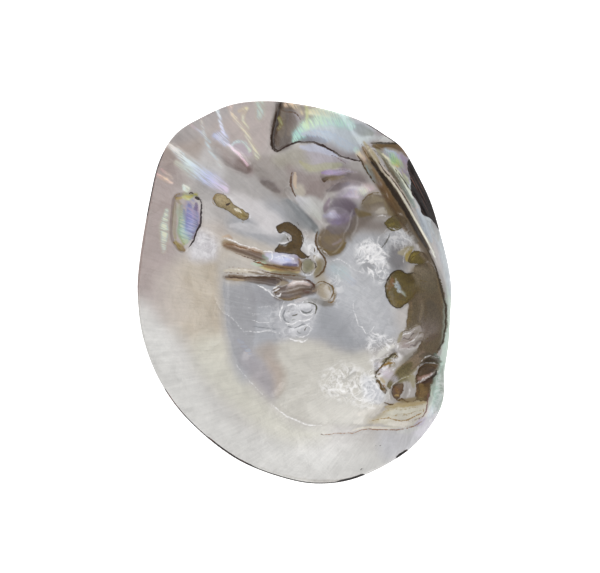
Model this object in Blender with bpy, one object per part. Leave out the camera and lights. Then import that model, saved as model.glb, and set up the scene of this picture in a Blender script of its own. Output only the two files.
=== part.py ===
"""One valve of a freshwater pearl mussel, lying on its back with the pearly hollow upwards.

The valve grew as one piece, so it is one solid. Both of its faces are height fields over the
outline: the inner one carries the hinge teeth, the blister pearls, the scars and the pits, and
the outer one the beak and the growth rests. +Z is up and +Y runs towards the posterior end.
Outlines, paths and heights are in millimetres, and the mesh is built in metres.
"""

import math

import bmesh
import bpy
import numpy as np
from mathutils import Vector
from mathutils.geometry import delaunay_2d_cdt

MM = 0.001
NODE = "shell_valve"

# Driving sizes
HOLLOW_DEPTH = 25.0  # from the margin plane down to the deepest point of the hollow
DEEPEST = (13.0, -4.0)  # where that point is, seen from above
BEAK = (62.0, -22.0)  # where growth began, on the outer face
MARGIN_THICKNESS = 1.7
WALL_THICKNESS = 3.4
THICKENING_WIDTH = 24.0  # how far in from the margin the wall reaches its full thickness
LIP_RADIUS = 1.0
GENTLE_POWER = 1.9  # the hollow's section towards the ventral margin, nearly a parabola
STEEP_POWER = 4.6  # and towards the hinge, a flat floor with a steep wall
HINGE_BEARING = math.radians(-14.0)
HINGE_SIDE_FOCUS = 3  # how closely the steep section keeps to the hinge side
BEAK_SWELL = 3.0
BEAK_SWELL_RADIUS = 15.0
BEAK_SWELL_FADE = 8.0  # it dies out over this distance at the margin
RELIEF_FADE = 3.0  # so do the features of the pearly face
GROWTH_FADE = 6.0  # and the growth rests

# How the valve lies: its margin plane tips until the lowest point is under the centre of mass
LIE_HEIGHT = 27.5
LIE_SLOPE_X = 0.045
LIE_SLOPE_Y = -0.035
WORN_SPOT = (9.0, 4.0)  # where it rests, and where its growth rests are worn away
WORN_RADIUS = 14.0
WORN_CORE = 0.7  # the share of that radius inside which nothing of them is left

# The mesh
MARGIN_SPACING = 3.2
PLAIN_SPACING = 4.0
FINE_SPACING = 1.9
OUTER_SPACING = 4.0
LIP_INSETS = (0.5, 1.6)  # rows of points that round the edge
GRIND_SNAP = 0.04  # points this close to the table are set on it
FINE_BORDER = 1.5  # how far past a feature the fine points reach
SAME_POINT = 1e-5  # points of the flat net closer than this are one
CREASE_ANGLE = math.radians(50.0)  # edges sharper than this are not shaded smooth

# The outline of the valve, anticlockwise from the beak's side
MARGIN = (
    (69.2, 1.0), (67.6, 12.5), (64.2, 26.0), (60.3, 39.0), (55.0, 50.5), (48.0, 62.7), (40.0, 69.0),
    (30.0, 75.0), (16.0, 79.8), (1.0, 82.4), (-13.0, 83.6), (-27.0, 81.8), (-40.0, 76.5), (-51.5, 69.2),
    (-58.8, 58.0), (-63.0, 42.0), (-67.6, 15.0), (-69.0, -2.0), (-66.4, -21.0), (-58.5, -40.5),
    (-45.5, -57.6), (-25.0, -73.8), (-2.0, -82.6), (15.0, -84.3), (31.0, -80.6), (49.0, -70.6),
    (59.5, -59.5), (65.3, -48.5), (66.2, -35.0), (67.9, -23.0), (68.7, -10.0),
)

# The hinge crest stands in from the margin by this much: bearing in degrees from DEEPEST, inset
CREST_INSET = (
    (-64, 0.0), (-54, 4.0), (-46, 5.0), (-36, 4.5), (-26, 3.0), (-12, 1.6), (-2, 1.4), (8, 2.6),
    (20, 5.2), (33, 8.5), (46, 12.0), (58, 14.5), (68, 15.0), (76, 11.0), (86, 0.0),
)

# Areas that stand up or lie low: lift, width of the bank that leads to it, outline
PATCHES = {
    "posterior ledge": (-0.9, 0.8, (
        (-6.5, 88), (-8.0, 78), (-9.8, 70), (-9.8, 65), (-8.3, 62.3), (-4, 64.2), (1, 65.8), (6, 66.2),
        (11, 65.3), (16, 62.8), (21, 59.8), (28, 57.8), (33, 63), (42, 74), (30, 92), (8, 96),
    )),
    "wing ledge": (-0.8, 0.8, (
        (34.5, 65.1), (40, 65.3), (46, 65.2), (52, 62), (54, 55), (51, 50), (47, 54), (42, 60.5),
        (37, 63.2),
    )),
    "bare strip": (-0.9, 0.8, (
        (51, 57.5), (56, 52), (61, 44), (65, 34), (64.5, 26.5), (61.8, 30.5), (58, 32.6), (55.3, 37.8),
        (52, 44), (50.6, 51),
    )),
    "worn window": (-1.0, 1.4, (
        (-53, 41.2), (-49.5, 43), (-45, 43), (-41.5, 40.5), (-40.7, 34), (-42.5, 27), (-46, 20.5),
        (-49, 17.5), (-52.5, 20), (-54.5, 26), (-54, 34),
    )),
    "kidney pit": (-1.1, 1.6, (
        (43, 7.5), (46.5, 9), (50, 8), (54, 8.5), (56.5, 4), (54, -1), (50.5, -5), (47, -7.6), (43.5, -6),
        (41.2, -1), (41, 3.5),
    )),
    "anterior scar": (-1.0, 1.6, (
        (44.5, -26.5), (40.5, -29), (36, -34.5), (37, -39), (40, -44.5), (42.5, -42), (46, -37), (50, -32),
        (49, -28),
    )),
    "retractor pit": (-2.2, 2.2, (
        (43.5, -47.5), (43.2, -43.5), (46, -40.6), (50.2, -39), (50, -43.5), (47.5, -48.8),
    )),
    "tooth socket": (-4.0, 3.2, (
        (54.3, -38.5), (56.3, -33), (60.3, -30.2), (63.3, -32.3), (62.8, -37), (60.3, -41.5), (56.3, -42),
    )),
    "fan shelf": (1.6, 5.0, (
        (33, -57), (40, -52.5), (47, -50), (57, -48), (60, -54), (56, -59), (46, -61), (35, -60.5),
    )),
    "amber cushion": (0.9, 5.0, (
        (-20, -27), (-13, -26), (-7, -30), (-4, -38), (-8, -45), (-12, -46.5), (-18, -39), (-22, -33),
    )),
    "mauve lump": (2.4, 4.5, (
        (20, 46.5), (26, 47.5), (31, 45.5), (33, 41.5), (29.5, 38.5), (27, 35), (26, 29), (23.8, 25),
        (22.8, 20.5), (18.5, 16), (14, 16.3), (10.8, 20), (10, 24), (12.3, 28), (14, 32), (14, 39),
    )),
    "golden lobe": (1.1, 2.6, (
        (27.5, 37), (31, 41.5), (36, 43.8), (41, 42), (41.5, 38), (37, 34.5), (31, 33),
    )),
    "olive lobe": (0.8, 2.0, ((40.3, 31), (42, 27.5), (45, 26.4), (49, 28), (51, 32), (46, 34))),
    "olive knob": (1.2, 2.6, (
        (49.6, 16), (51, 18.6), (54, 19), (57, 17), (57, 13), (54, 12.4), (50.6, 13.2),
    )),
    "upper ring": (-0.9, 1.0, (
        (3.2, 11), (4, 13.6), (6.4, 14.4), (9, 13), (9.6, 10.6), (8.2, 8.3), (5.6, 7.8), (3.7, 9),
    )),
    "lower ring": (-0.9, 1.0, (
        (9.8, 0.5), (11, 3), (13.6, 3.8), (16.2, 2.4), (17, -0.4), (15.6, -3), (12.6, -3.4), (10.4, -2),
    )),
}

# Rounded ridges with a path: lift, then points of the path with the half width there
RIDGE_ROUNDNESS = 1.2
RIDGE_TAPER = 0.7
BLISTERS = {
    "upper pearl blister": (2.9, (
        (-30.5, 21, 1.3), (-23, 18.8, 1.9), (-15, 16, 2.6), (-8, 14.2, 3.3), (-0.5, 13, 3.6),
    )),
    "lower pearl blister": (2.9, ((-7, -0.8, 2.6), (-2.5, -0.6, 3.6), (3, 0.8, 3.8), (7.5, 1, 3.0))),
    "lower blister tail": (1.3, ((-30.5, 6.3, 1.1), (-22, 5.5, 1.6), (-14, 4.8, 2.0), (-8, 3.6, 1.8))),
    "third blister": (0.9, ((-2.5, -12.3, 3.6), (3, -9.6, 4.0), (7.2, -8, 3.0))),
    "fourth blister": (0.6, ((-1, -19, 2.6), (3, -17.6, 2.8), (6.5, -16.2, 2.2))),
    "amber crust": (1.1, ((-33, 41, 3.2), (-29, 38.5, 3.0), (-25, 35.5, 2.6), (-21.5, 32.8, 2.2))),
    "mauve stub": (1.4, ((13.5, 51.5, 1.7), (18, 52.4, 1.9), (24, 53, 1.4))),
    "lump brow": (1.0, ((17, 43.5, 2.2), (22, 46, 2.8), (28, 45.5, 3.0), (33, 43, 2.0))),
    "lump crown": (0.9, ((14.5, 33, 2.6), (18.5, 34, 3.6), (22, 33.5, 2.6))),
    "posterior blister": (1.4, ((-33, 63.5, 4.0), (-27, 59.3, 4.8), (-21.5, 55.2, 3.2))),
    "posterior fold": (0.35, ((-55, 64, 3.0), (-46, 56, 4.0), (-38, 50.5, 4.5), (-31, 45.5, 3.0))),
    "pallial line": (0.25, (
        (-30.5, 10, 1.5), (-30.8, -8, 2.2), (-29, -21, 2.2), (-25.5, -32, 2.2), (-18.5, -41.5, 2.2),
        (-10, -50, 2.2), (0, -56.8, 2.2), (12, -60, 2.2), (25, -60.7, 2.2), (35, -60, 1.5),
    )),
    "hooked pit": (-1.0, (
        (-6.6, 27.8, 1.5), (-3.5, 28.4, 2.1), (0, 27, 2.4), (2, 24, 2.4), (1.6, 20.3, 2.2), (-2, 18.3, 1.9),
        (-6.8, 18.4, 1.2),
    )),
    "oblique crease": (-0.7, ((-3, 45, 1.6), (2, 39, 2.4), (7, 33, 2.6), (12, 27, 1.8))),
    "socket ridge": (2.2, ((56.3, -39.8, 1.3), (62, -35.4, 1.5))),
    "first fan ridge": (0.8, ((37, -53.5, 1.0), (46, -50.8, 1.2), (57, -49.5, 1.2))),
    "second fan ridge": (0.8, ((38, -56, 1.0), (47, -55.5, 1.2), (52.5, -54.8, 1.2), (57.5, -52.2, 1.2))),
    "third fan ridge": (0.8, ((40, -58.8, 1.0), (50, -58, 1.2), (57.5, -54.8, 1.2))),
}

# Hinge teeth: long ridges that meet at both ends, offset from the crest line by this much midway
TOOTH_CREST = ((30.5, 64.5), (36, 57.5), (43, 48), (50, 36.5), (56.5, 24), (61.5, 13), (65, 3))
TOOTH_OFFSETS = (-5.0, 0.6, 3.8, 7.0)
TOOTH_LIFTS = (1.5, 2.3, 1.5, 1.5)
TOOTH_HALF_WIDTH = 1.7
TOOTH_END_SHARE = 0.35  # how wide a tooth still is at its ends
TOOTH_BOW = 0.8

# Growth rests on the outer face, as shares of the way from the beak to the margin
GROWTH_RESTS = (0.36, 0.50, 0.62, 0.73, 0.82, 0.90, 0.96)
GROWTH_STEP = 0.55
GROWTH_STEP_WIDTH = 0.022


def smoothstep(value):
    """0 below 0, 1 above 1, and a smooth slope between."""
    t = np.clip(value, 0.0, 1.0)
    return t * t * (3.0 - 2.0 * t)


def smooth_path(points, steps, closed):
    """A Catmull-Rom curve through the points, as an array of rows."""
    knots = np.array(points, float)
    if closed:
        knots = np.vstack([knots[-1], knots, knots[:2]])
    else:
        knots = np.vstack([2 * knots[0] - knots[1], knots, 2 * knots[-1] - knots[-2]])
    t = np.linspace(0.0, 1.0, steps, endpoint=False)[:, None]
    rows = []
    for before, start, end, after in zip(knots, knots[1:], knots[2:], knots[3:]):
        bend = 2 * before - 5 * start + 4 * end - after
        twist = 3 * (start - end) + after - before
        rows.append(start + 0.5 * ((end - before) * t + bend * t**2 + twist * t**3))
    if not closed:
        rows.append(knots[-2][None])
    return np.vstack(rows)


def radius_about(loop, centre):
    """A closed loop's radius about a centre inside it, as a function of the bearing."""
    offset = loop - np.array(centre)
    bearing = np.arctan2(offset[:, 1], offset[:, 0])
    order = np.argsort(bearing)
    radius = np.hypot(offset[:, 0], offset[:, 1])
    return lambda b: np.interp(b, bearing[order], radius[order], period=2 * math.pi)


def nearest_on_path(x, y, path):
    """Distance to a path, and how many of its points are passed there."""
    best = np.full(x.shape, np.inf)
    share = np.zeros(x.shape)
    for i, (start, end) in enumerate(zip(path[:-1], path[1:])):
        along = end[:2] - start[:2]
        dx, dy = x - start[0], y - start[1]
        t = np.clip((dx * along[0] + dy * along[1]) / (along @ along), 0.0, 1.0)
        distance = np.hypot(dx - t * along[0], dy - t * along[1])
        closer = distance < best
        best = np.where(closer, distance, best)
        share = np.where(closer, i + t, share)
    return best, share


def inside_distance(x, y, loop):
    """Distance to a closed loop, positive inside it."""
    distance = nearest_on_path(x, y, np.vstack([loop, loop[:1]]))[0]
    crossings = np.zeros(x.shape, bool)
    for (x0, y0), (x1, y1) in zip(loop, np.roll(loop, -1, axis=0)):
        spans = (y0 > y) != (y1 > y)
        if y0 != y1:
            crossings ^= spans & (x < (x1 - x0) * (y - y0) / (y1 - y0) + x0)
    return np.where(crossings, distance, -distance)


MARGIN_LOOP = smooth_path(MARGIN, 16, closed=True)
CREST = smooth_path(CREST_INSET, 8, closed=False)
margin_radius = radius_about(MARGIN_LOOP, DEEPEST)
beak_radius = radius_about(MARGIN_LOOP, BEAK)
PATCH_LOOPS = {name: smooth_path(patch[2], 6, closed=True) for name, patch in PATCHES.items()}
BLISTER_PATHS = {name: smooth_path(blister[1], 6, closed=False) for name, blister in BLISTERS.items()}


def tooth_paths():
    """The hinge teeth as paths with a half width, bowed apart midway and meeting at both ends."""
    crest = smooth_path(TOOTH_CREST, 6, closed=False)
    along = np.gradient(crest, axis=0)
    outward = np.stack([-along[:, 1], along[:, 0]], axis=1) / np.hypot(along[:, 0], along[:, 1])[:, None]
    outward *= np.sign(outward[:, :1])
    bow = np.sin(np.linspace(0.0, math.pi, len(crest))) ** TOOTH_BOW
    widths = TOOTH_HALF_WIDTH * (TOOTH_END_SHARE + (1.0 - TOOTH_END_SHARE) * bow)
    return [
        np.column_stack([crest + outward * (offset * bow)[:, None], widths])
        for offset in TOOTH_OFFSETS
    ]


TOOTH_PATHS = tooth_paths()


def bearing_and_distance(x, y, centre):
    return np.arctan2(y - centre[1], x - centre[0]), np.hypot(x - centre[0], y - centre[1])


def margin_distance(x, y):
    """How far a point is in from the margin, measured away from the deepest point."""
    bearing, distance = bearing_and_distance(x, y, DEEPEST)
    return margin_radius(bearing) - distance


def margin_plane(x, y):
    """Height of the plane of the margin, as the valve lies."""
    return LIE_HEIGHT + LIE_SLOPE_X * x + LIE_SLOPE_Y * y


def hollow(x, y, inset):
    """The plain hollow of the valve below the margin plane, with its rim this far in from the margin."""
    bearing, distance = bearing_and_distance(x, y, DEEPEST)
    reach = np.clip(distance / (margin_radius(bearing) - inset), 0.0, 1.0)
    hinge_side = (0.5 + 0.5 * np.cos(bearing - HINGE_BEARING)) ** HINGE_SIDE_FOCUS
    power = GENTLE_POWER + (STEEP_POWER - GENTLE_POWER) * hinge_side
    return -HOLLOW_DEPTH * (1.0 - reach**power)


def crest_inset(x, y):
    """How wide the hinge plate is in this direction."""
    bearing = np.degrees(bearing_and_distance(x, y, DEEPEST)[0])
    return np.clip(np.interp(bearing, CREST[:, 0], CREST[:, 1]), 0.0, None)


def dome(x, y, path):
    """A rounded ridge along a path whose third column is its half width: 1 on the path, 0 beyond."""
    distance, share = nearest_on_path(x, y, path)
    width = np.interp(share, np.arange(len(path)), path[:, 2])
    round_top = np.clip(1.0 - (distance / width) ** 2, 0.0, 1.0) ** RIDGE_ROUNDNESS
    return round_top * (width / path[:, 2].max()) ** RIDGE_TAPER


def relief(x, y):
    """Everything that stands up from the hollow or lies low in it."""
    height = np.zeros(x.shape)
    for name, (lift, bank, _) in PATCHES.items():
        height += lift * smoothstep(inside_distance(x, y, PATCH_LOOPS[name]) / bank + 0.5)
    for name, (lift, _) in BLISTERS.items():
        height += lift * dome(x, y, BLISTER_PATHS[name])
    teeth = [lift * dome(x, y, path) for lift, path in zip(TOOTH_LIFTS, TOOTH_PATHS)]
    return height + np.max(teeth, axis=0)


def lip(x, y):
    """0 at the very edge of the valve and 1 once past its rounded lip."""
    inward = np.clip(margin_distance(x, y) / LIP_RADIUS, 0.0, 1.0)
    return np.sqrt(1.0 - (1.0 - inward) ** 2)


def inner_height(x, y):
    """Height of the pearly face."""
    level = margin_plane(x, y) + hollow(x, y, crest_inset(x, y))
    rounding = 0.5 * MARGIN_THICKNESS * (1.0 - lip(x, y))
    near_edge = smoothstep(margin_distance(x, y) / RELIEF_FADE)
    return level + relief(x, y) * near_edge - rounding


def growth_steps(x, y):
    """Terraces left where growth rested, each one the outline drawn smaller about the beak."""
    bearing, distance = bearing_and_distance(x, y, BEAK)
    growth = distance / beak_radius(bearing)
    steps = np.zeros(x.shape)
    for rest in GROWTH_RESTS:
        past = (growth - rest) / GROWTH_STEP_WIDTH
        steps += np.exp(-0.5 * past**2) * np.where(past > 0, 1.0, 0.8)
    unworn = smoothstep(bearing_and_distance(x, y, WORN_SPOT)[1] / WORN_RADIUS - WORN_CORE)
    return GROWTH_STEP * steps * unworn * smoothstep(margin_distance(x, y) / GROWTH_FADE)


def outer_height(x, y):
    """Height of the outer face, which is the one that rests on the table."""
    inward = margin_distance(x, y)
    thickness = 0.5 * MARGIN_THICKNESS * (1.0 + lip(x, y))
    thickness += (WALL_THICKNESS - MARGIN_THICKNESS) * smoothstep(inward / THICKENING_WIDTH)
    from_beak = bearing_and_distance(x, y, BEAK)[1]
    swell = BEAK_SWELL * np.exp(-((from_beak / BEAK_SWELL_RADIUS) ** 2))
    swell *= smoothstep(inward / BEAK_SWELL_FADE)
    return margin_plane(x, y) + hollow(x, y, 0.0) - thickness - swell - growth_steps(x, y)


def even_loop(inset):
    """Evenly spaced points round the margin, moved in towards the deepest point."""
    steps = np.hypot(*(np.roll(MARGIN_LOOP, -1, axis=0) - MARGIN_LOOP).T)
    travelled = np.concatenate([[0.0], np.cumsum(steps)])
    ends = np.vstack([MARGIN_LOOP, MARGIN_LOOP[:1]])
    count = round(travelled[-1] / MARGIN_SPACING)
    at = np.linspace(0.0, travelled[-1], count, endpoint=False)
    loop = np.column_stack([np.interp(at, travelled, ends[:, axis]) for axis in (0, 1)])
    offset = loop - np.array(DEEPEST)
    length = np.hypot(offset[:, 0], offset[:, 1])[:, None]
    return np.array(DEEPEST) + offset * (1.0 - inset / length)


def hexagonal_points(spacing):
    """Points of a hexagonal net that lie well inside the margin."""
    low, high = MARGIN_LOOP.min(axis=0), MARGIN_LOOP.max(axis=0)
    points = []
    row_height = spacing * math.sqrt(0.75)
    for row in range(int((high[1] - low[1]) / row_height) + 1):
        shift = 0.5 * spacing * (row % 2)
        for column in range(int((high[0] - low[0]) / spacing) + 1):
            points.append((low[0] + shift + column * spacing, low[1] + row * row_height))
    points = np.array(points)
    clear = LIP_INSETS[-1] + 0.5 * spacing
    return points[margin_distance(points[:, 0], points[:, 1]) > clear]


def is_fine(points):
    """Whether each point is on a feature small enough to need the fine net."""
    x, y = points.T
    fine = np.zeros(len(points), bool)
    for name, (_, bank, _) in PATCHES.items():
        near = inside_distance(x, y, PATCH_LOOPS[name])
        reach = FINE_BORDER + bank
        fine |= (near > -FINE_BORDER) & (near < reach)
    for path in [*BLISTER_PATHS.values(), *TOOTH_PATHS]:
        distance, share = nearest_on_path(x, y, path)
        fine |= distance < np.interp(share, np.arange(len(path)), path[:, 2]) + FINE_BORDER
    return fine


def inner_points():
    """The pearly face's points: fine on the features and plain between them."""
    plain, fine = hexagonal_points(PLAIN_SPACING), hexagonal_points(FINE_SPACING)
    return np.vstack([plain[~is_fine(plain)], fine[is_fine(fine)]])


def add_sheet(bm, rim, points, height, facing_up):
    """Fills the margin with triangles through the points, each at its height, joined to the rim."""
    loops = [even_loop(inset) for inset in LIP_INSETS]
    flat = np.vstack([even_loop(0.0), *loops, points])
    edge = list(range(len(rim)))
    flat = [Vector(p) for p in flat]
    placed, _, faces, sources, _, _ = delaunay_2d_cdt(flat, [], [edge], 1, SAME_POINT)
    xy = np.array([tuple(p) for p in placed])
    z = height(xy[:, 0], xy[:, 1])
    verts = []
    for position, level, source in zip(xy, z, sources):
        on_rim = [s for s in source if s < len(rim)]
        verts.append(rim[on_rim[0]] if on_rim else bm.verts.new((*position * MM, level * MM)))
    for face in faces:
        corners = [verts[i] for i in face]
        bm.faces.new(corners if facing_up else corners[::-1])


def grind_flat(bm):
    """Rubs the outer face flat where the valve rests on the table, at height 0."""
    for vert in bm.verts:
        if abs(vert.co.z) < GRIND_SNAP * MM:
            vert.co.z = 0.0
    everything = [*bm.verts, *bm.edges, *bm.faces]
    cut = bmesh.ops.bisect_plane(
        bm, geom=everything, dist=SAME_POINT * MM, plane_co=(0, 0, 0), plane_no=(0, 0, -1), clear_outer=True
    )
    rubbed_edges = [e for e in cut["geom_cut"] if isinstance(e, bmesh.types.BMEdge)]
    bmesh.ops.contextual_create(bm, geom=rubbed_edges)


def nacre_material():
    material = bpy.data.materials.new("polished nacre")
    material.use_nodes = True
    shader = material.node_tree.nodes["Principled BSDF"]
    shader.inputs["Base Color"].default_value = (0.485, 0.448, 0.392, 1.0)
    shader.inputs["Roughness"].default_value = 0.28
    shader.inputs["Metallic"].default_value = 0.0
    return material


def build_valve(collection):
    """The whole valve as one closed solid."""
    bm = bmesh.new()
    edge = even_loop(0.0)
    edge_height = margin_plane(edge[:, 0], edge[:, 1]) - 0.5 * MARGIN_THICKNESS
    rim = [bm.verts.new((x * MM, y * MM, z * MM)) for (x, y), z in zip(edge, edge_height)]
    add_sheet(bm, rim, inner_points(), inner_height, facing_up=True)
    add_sheet(bm, rim, hexagonal_points(OUTER_SPACING), outer_height, facing_up=False)
    grind_flat(bm)
    bmesh.ops.recalc_face_normals(bm, faces=bm.faces)
    mesh = bpy.data.meshes.new(NODE)
    bm.to_mesh(mesh)
    bm.free()
    mesh.shade_smooth()
    mesh.set_sharp_from_angle(angle=CREASE_ANGLE)
    mesh.materials.append(nacre_material())
    valve = bpy.data.objects.new(NODE, mesh)
    collection.objects.link(valve)
    return valve


def main():
    for old in list(bpy.data.objects):
        bpy.data.objects.remove(old)
    collection = bpy.data.collections.new("pearl mussel valve")
    bpy.context.scene.collection.children.link(collection)
    build_valve(collection)


main()
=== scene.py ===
"""The looks of one polished valve of a freshwater pearl mussel, lying hollow side up on a pale table.

The valve is cut as a flat net over its outline. Everything that is known at each point of the net
goes with it as an attribute, a node tree called "valve growth" raises the net into the two faces of
the valve, and two materials finish it: polished nacre inside and worn outer skin outside.
Outlines, paths, widths and heights are in millimetres, seen from above, with +Y towards the
posterior end and +X towards the hinge.
"""

import math

import bpy
import numpy as np
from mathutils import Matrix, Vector
from mathutils.geometry import delaunay_2d_cdt


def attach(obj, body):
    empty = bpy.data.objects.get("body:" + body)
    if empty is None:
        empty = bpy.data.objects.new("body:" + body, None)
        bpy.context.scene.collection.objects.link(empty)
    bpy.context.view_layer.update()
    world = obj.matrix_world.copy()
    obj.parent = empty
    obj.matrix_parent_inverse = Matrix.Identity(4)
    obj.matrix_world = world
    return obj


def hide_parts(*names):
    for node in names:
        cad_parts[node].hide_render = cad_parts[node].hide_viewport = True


MM = 0.001

# Driving sizes of the valve
HOLLOW_DEPTH = 25.0
DEEPEST = (13.0, -4.0)
BEAK = (62.0, -22.0)
MARGIN_THICKNESS = 1.7
WALL_THICKNESS = 3.4
THICKENING_WIDTH = 24.0
LIP_RADIUS = 1.0
GENTLE_POWER = 1.9
STEEP_POWER = 4.6
HINGE_BEARING = math.radians(-14.0)
BEAK_SWELL = 3.0
BEAK_SWELL_RADIUS = 15.0
LIE_HEIGHT = 27.5
LIE_SLOPE_X = 0.045
LIE_SLOPE_Y = -0.035
WORN_SPOT = (9.0, 4.0)
WORN_RADIUS = 14.0
WORN_CORE = 0.7  # the share of the worn radius within which nothing of the growth rests is left
HINGE_SIDE_FOCUS = 3  # how closely the steep section keeps to the hinge side

# How far in from the margin each kind of relief reaches its full height
RELIEF_FADE = 3.0
FINE_FADE = 2.0
GROWTH_FADE = 6.0
BEAK_SWELL_FADE = 8.0
GROWTH_LINE_FADE = 1.5

# The net
RIM_SPACING = 0.9
INNER_SPACING = 0.5
OUTER_SPACING = 1.9
RIM_ROWS = (0.12, 0.3, 0.55, 0.9)  # how far in from the margin each row of the rounded lip lies
CURVE_STEPS = 6  # points between two points of a drawn curve
SAME_POINT = 1e-5

# The margin, point by point
MARGIN = (
    (69.2, 1.0), (67.6, 12.5), (64.2, 26.0), (60.3, 39.0), (55.0, 50.5), (48.0, 62.7), (40.0, 69.0),
    (30.0, 75.0), (16.0, 79.8), (1.0, 82.8), (-13.0, 84.1), (-27.3, 82.6), (-40.4, 77.1), (-52.0, 69.8),
    (-59.2, 58.3), (-63.4, 42.1), (-68.0, 15.0), (-69.0, -2.0), (-66.4, -21.0), (-58.5, -40.5),
    (-45.5, -57.6), (-25.0, -73.8), (-2.0, -82.6), (15.0, -84.3), (31.0, -80.6), (49.0, -70.6),
    (59.5, -59.5), (65.3, -48.5), (66.2, -35.0), (67.9, -23.0), (68.7, -10.0),
)

# The hinge crest stands in from the margin by this much: bearing in degrees from DEEPEST, inset
CREST_INSET = (
    (-64, 0.0), (-54, 4.0), (-46, 5.0), (-36, 4.5), (-26, 3.0), (-12, 1.6), (-2, 1.4), (8, 2.6), (20, 5.2),
    (33, 8.5), (46, 12.0), (58, 14.5), (68, 15.0), (76, 11.0), (86, 0.0),
)

# Areas that stand up or lie low: lift, width of the bank that leads to it, outline
PATCHES = {
    "posterior ledge": (-0.9, 0.8, ((-6.5, 88), (-8, 78), (-9.8, 70), (-9.8, 65), (-8.3, 62.3), (-4, 64.2),
        (1, 65.8), (6, 66.2), (11, 65.3), (16, 62.8), (21, 59.8), (28, 57.8), (33, 63), (42, 74), (30, 92),
        (8, 96))),
    "wing ledge": (-0.8, 0.8, ((34.5, 65.1), (40, 65.3), (46, 65.2), (52, 62), (54, 55), (51, 50), (47, 54),
        (42, 60.5), (37, 63.2))),
    "bare strip": (-0.9, 0.8, ((51, 57.5), (56, 52), (61, 44), (65, 34), (64.5, 26.5), (61.8, 30.5),
        (58, 32.6), (55.3, 37.8), (52, 44), (50.6, 51))),
    "worn window": (-1, 1.4, ((-53, 41.2), (-49.5, 43), (-45, 43), (-41.5, 40.5), (-40.7, 34), (-42.5, 27),
        (-46, 20.5), (-49, 17.5), (-52.5, 20), (-54.5, 26), (-54, 34))),
    "kidney pit": (-1.1, 1.6, ((43, 7.5), (46.5, 9), (50, 8), (54, 8.5), (56.5, 4), (54, -1), (50.5, -5),
        (47, -7.6), (43.5, -6), (41.2, -1), (41, 3.5))),
    "anterior scar": (-1, 1.6, ((44.5, -26.5), (40.5, -29), (36, -34.5), (37, -39), (40, -44.5), (42.5, -42),
        (46, -37), (50, -32), (49, -28))),
    "retractor pit": (-2.2, 2.2, ((43.5, -47.5), (43.2, -43.5), (46, -40.6), (50.2, -39), (50, -43.5),
        (47.5, -48.8))),
    "tooth socket": (-4, 3.2, ((54.3, -38.5), (56.3, -33), (60.3, -30.2), (63.3, -32.3), (62.8, -37),
        (60.3, -41.5), (56.3, -42))),
    "fan shelf": (1.6, 5, ((33, -57), (40, -52.5), (47, -50), (57, -48), (60, -54), (56, -59), (46, -61),
        (35, -60.5))),
    "amber cushion": (0.9, 5, ((-20, -27), (-13, -26), (-7, -30), (-4, -38), (-8, -45), (-12, -46.5),
        (-18, -39), (-22, -33))),
    "mauve lump": (2.4, 4.5, ((20, 46.5), (26, 47.5), (31, 45.5), (33, 41.5), (29.5, 38.5), (27, 35),
        (26, 29), (23.8, 25), (22.8, 20.5), (18.5, 16), (14, 16.3), (10.8, 20), (10, 24), (12.3, 28),
        (14, 32), (14, 39))),
    "golden lobe": (1.1, 2.6, ((27.5, 37), (31, 41.5), (36, 43.8), (41, 42), (41.5, 38), (37, 34.5),
        (31, 33))),
    "olive lobe": (0.8, 2, ((40.3, 31), (42, 27.5), (45, 26.4), (49, 28), (51, 32), (46, 34))),
    "olive knob": (1.2, 2.6, ((49.6, 16), (51, 18.6), (54, 19), (57, 17), (57, 13), (54, 12.4),
        (50.6, 13.2))),
    "upper ring": (-0.9, 1, ((3.2, 11), (4, 13.6), (6.4, 14.4), (9, 13), (9.6, 10.6), (8.2, 8.3), (5.6, 7.8),
        (3.7, 9))),
    "lower ring": (-0.9, 1, ((9.8, 0.5), (11, 3), (13.6, 3.8), (16.2, 2.4), (17, -0.4), (15.6, -3),
        (12.6, -3.4), (10.4, -2))),
}

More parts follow.
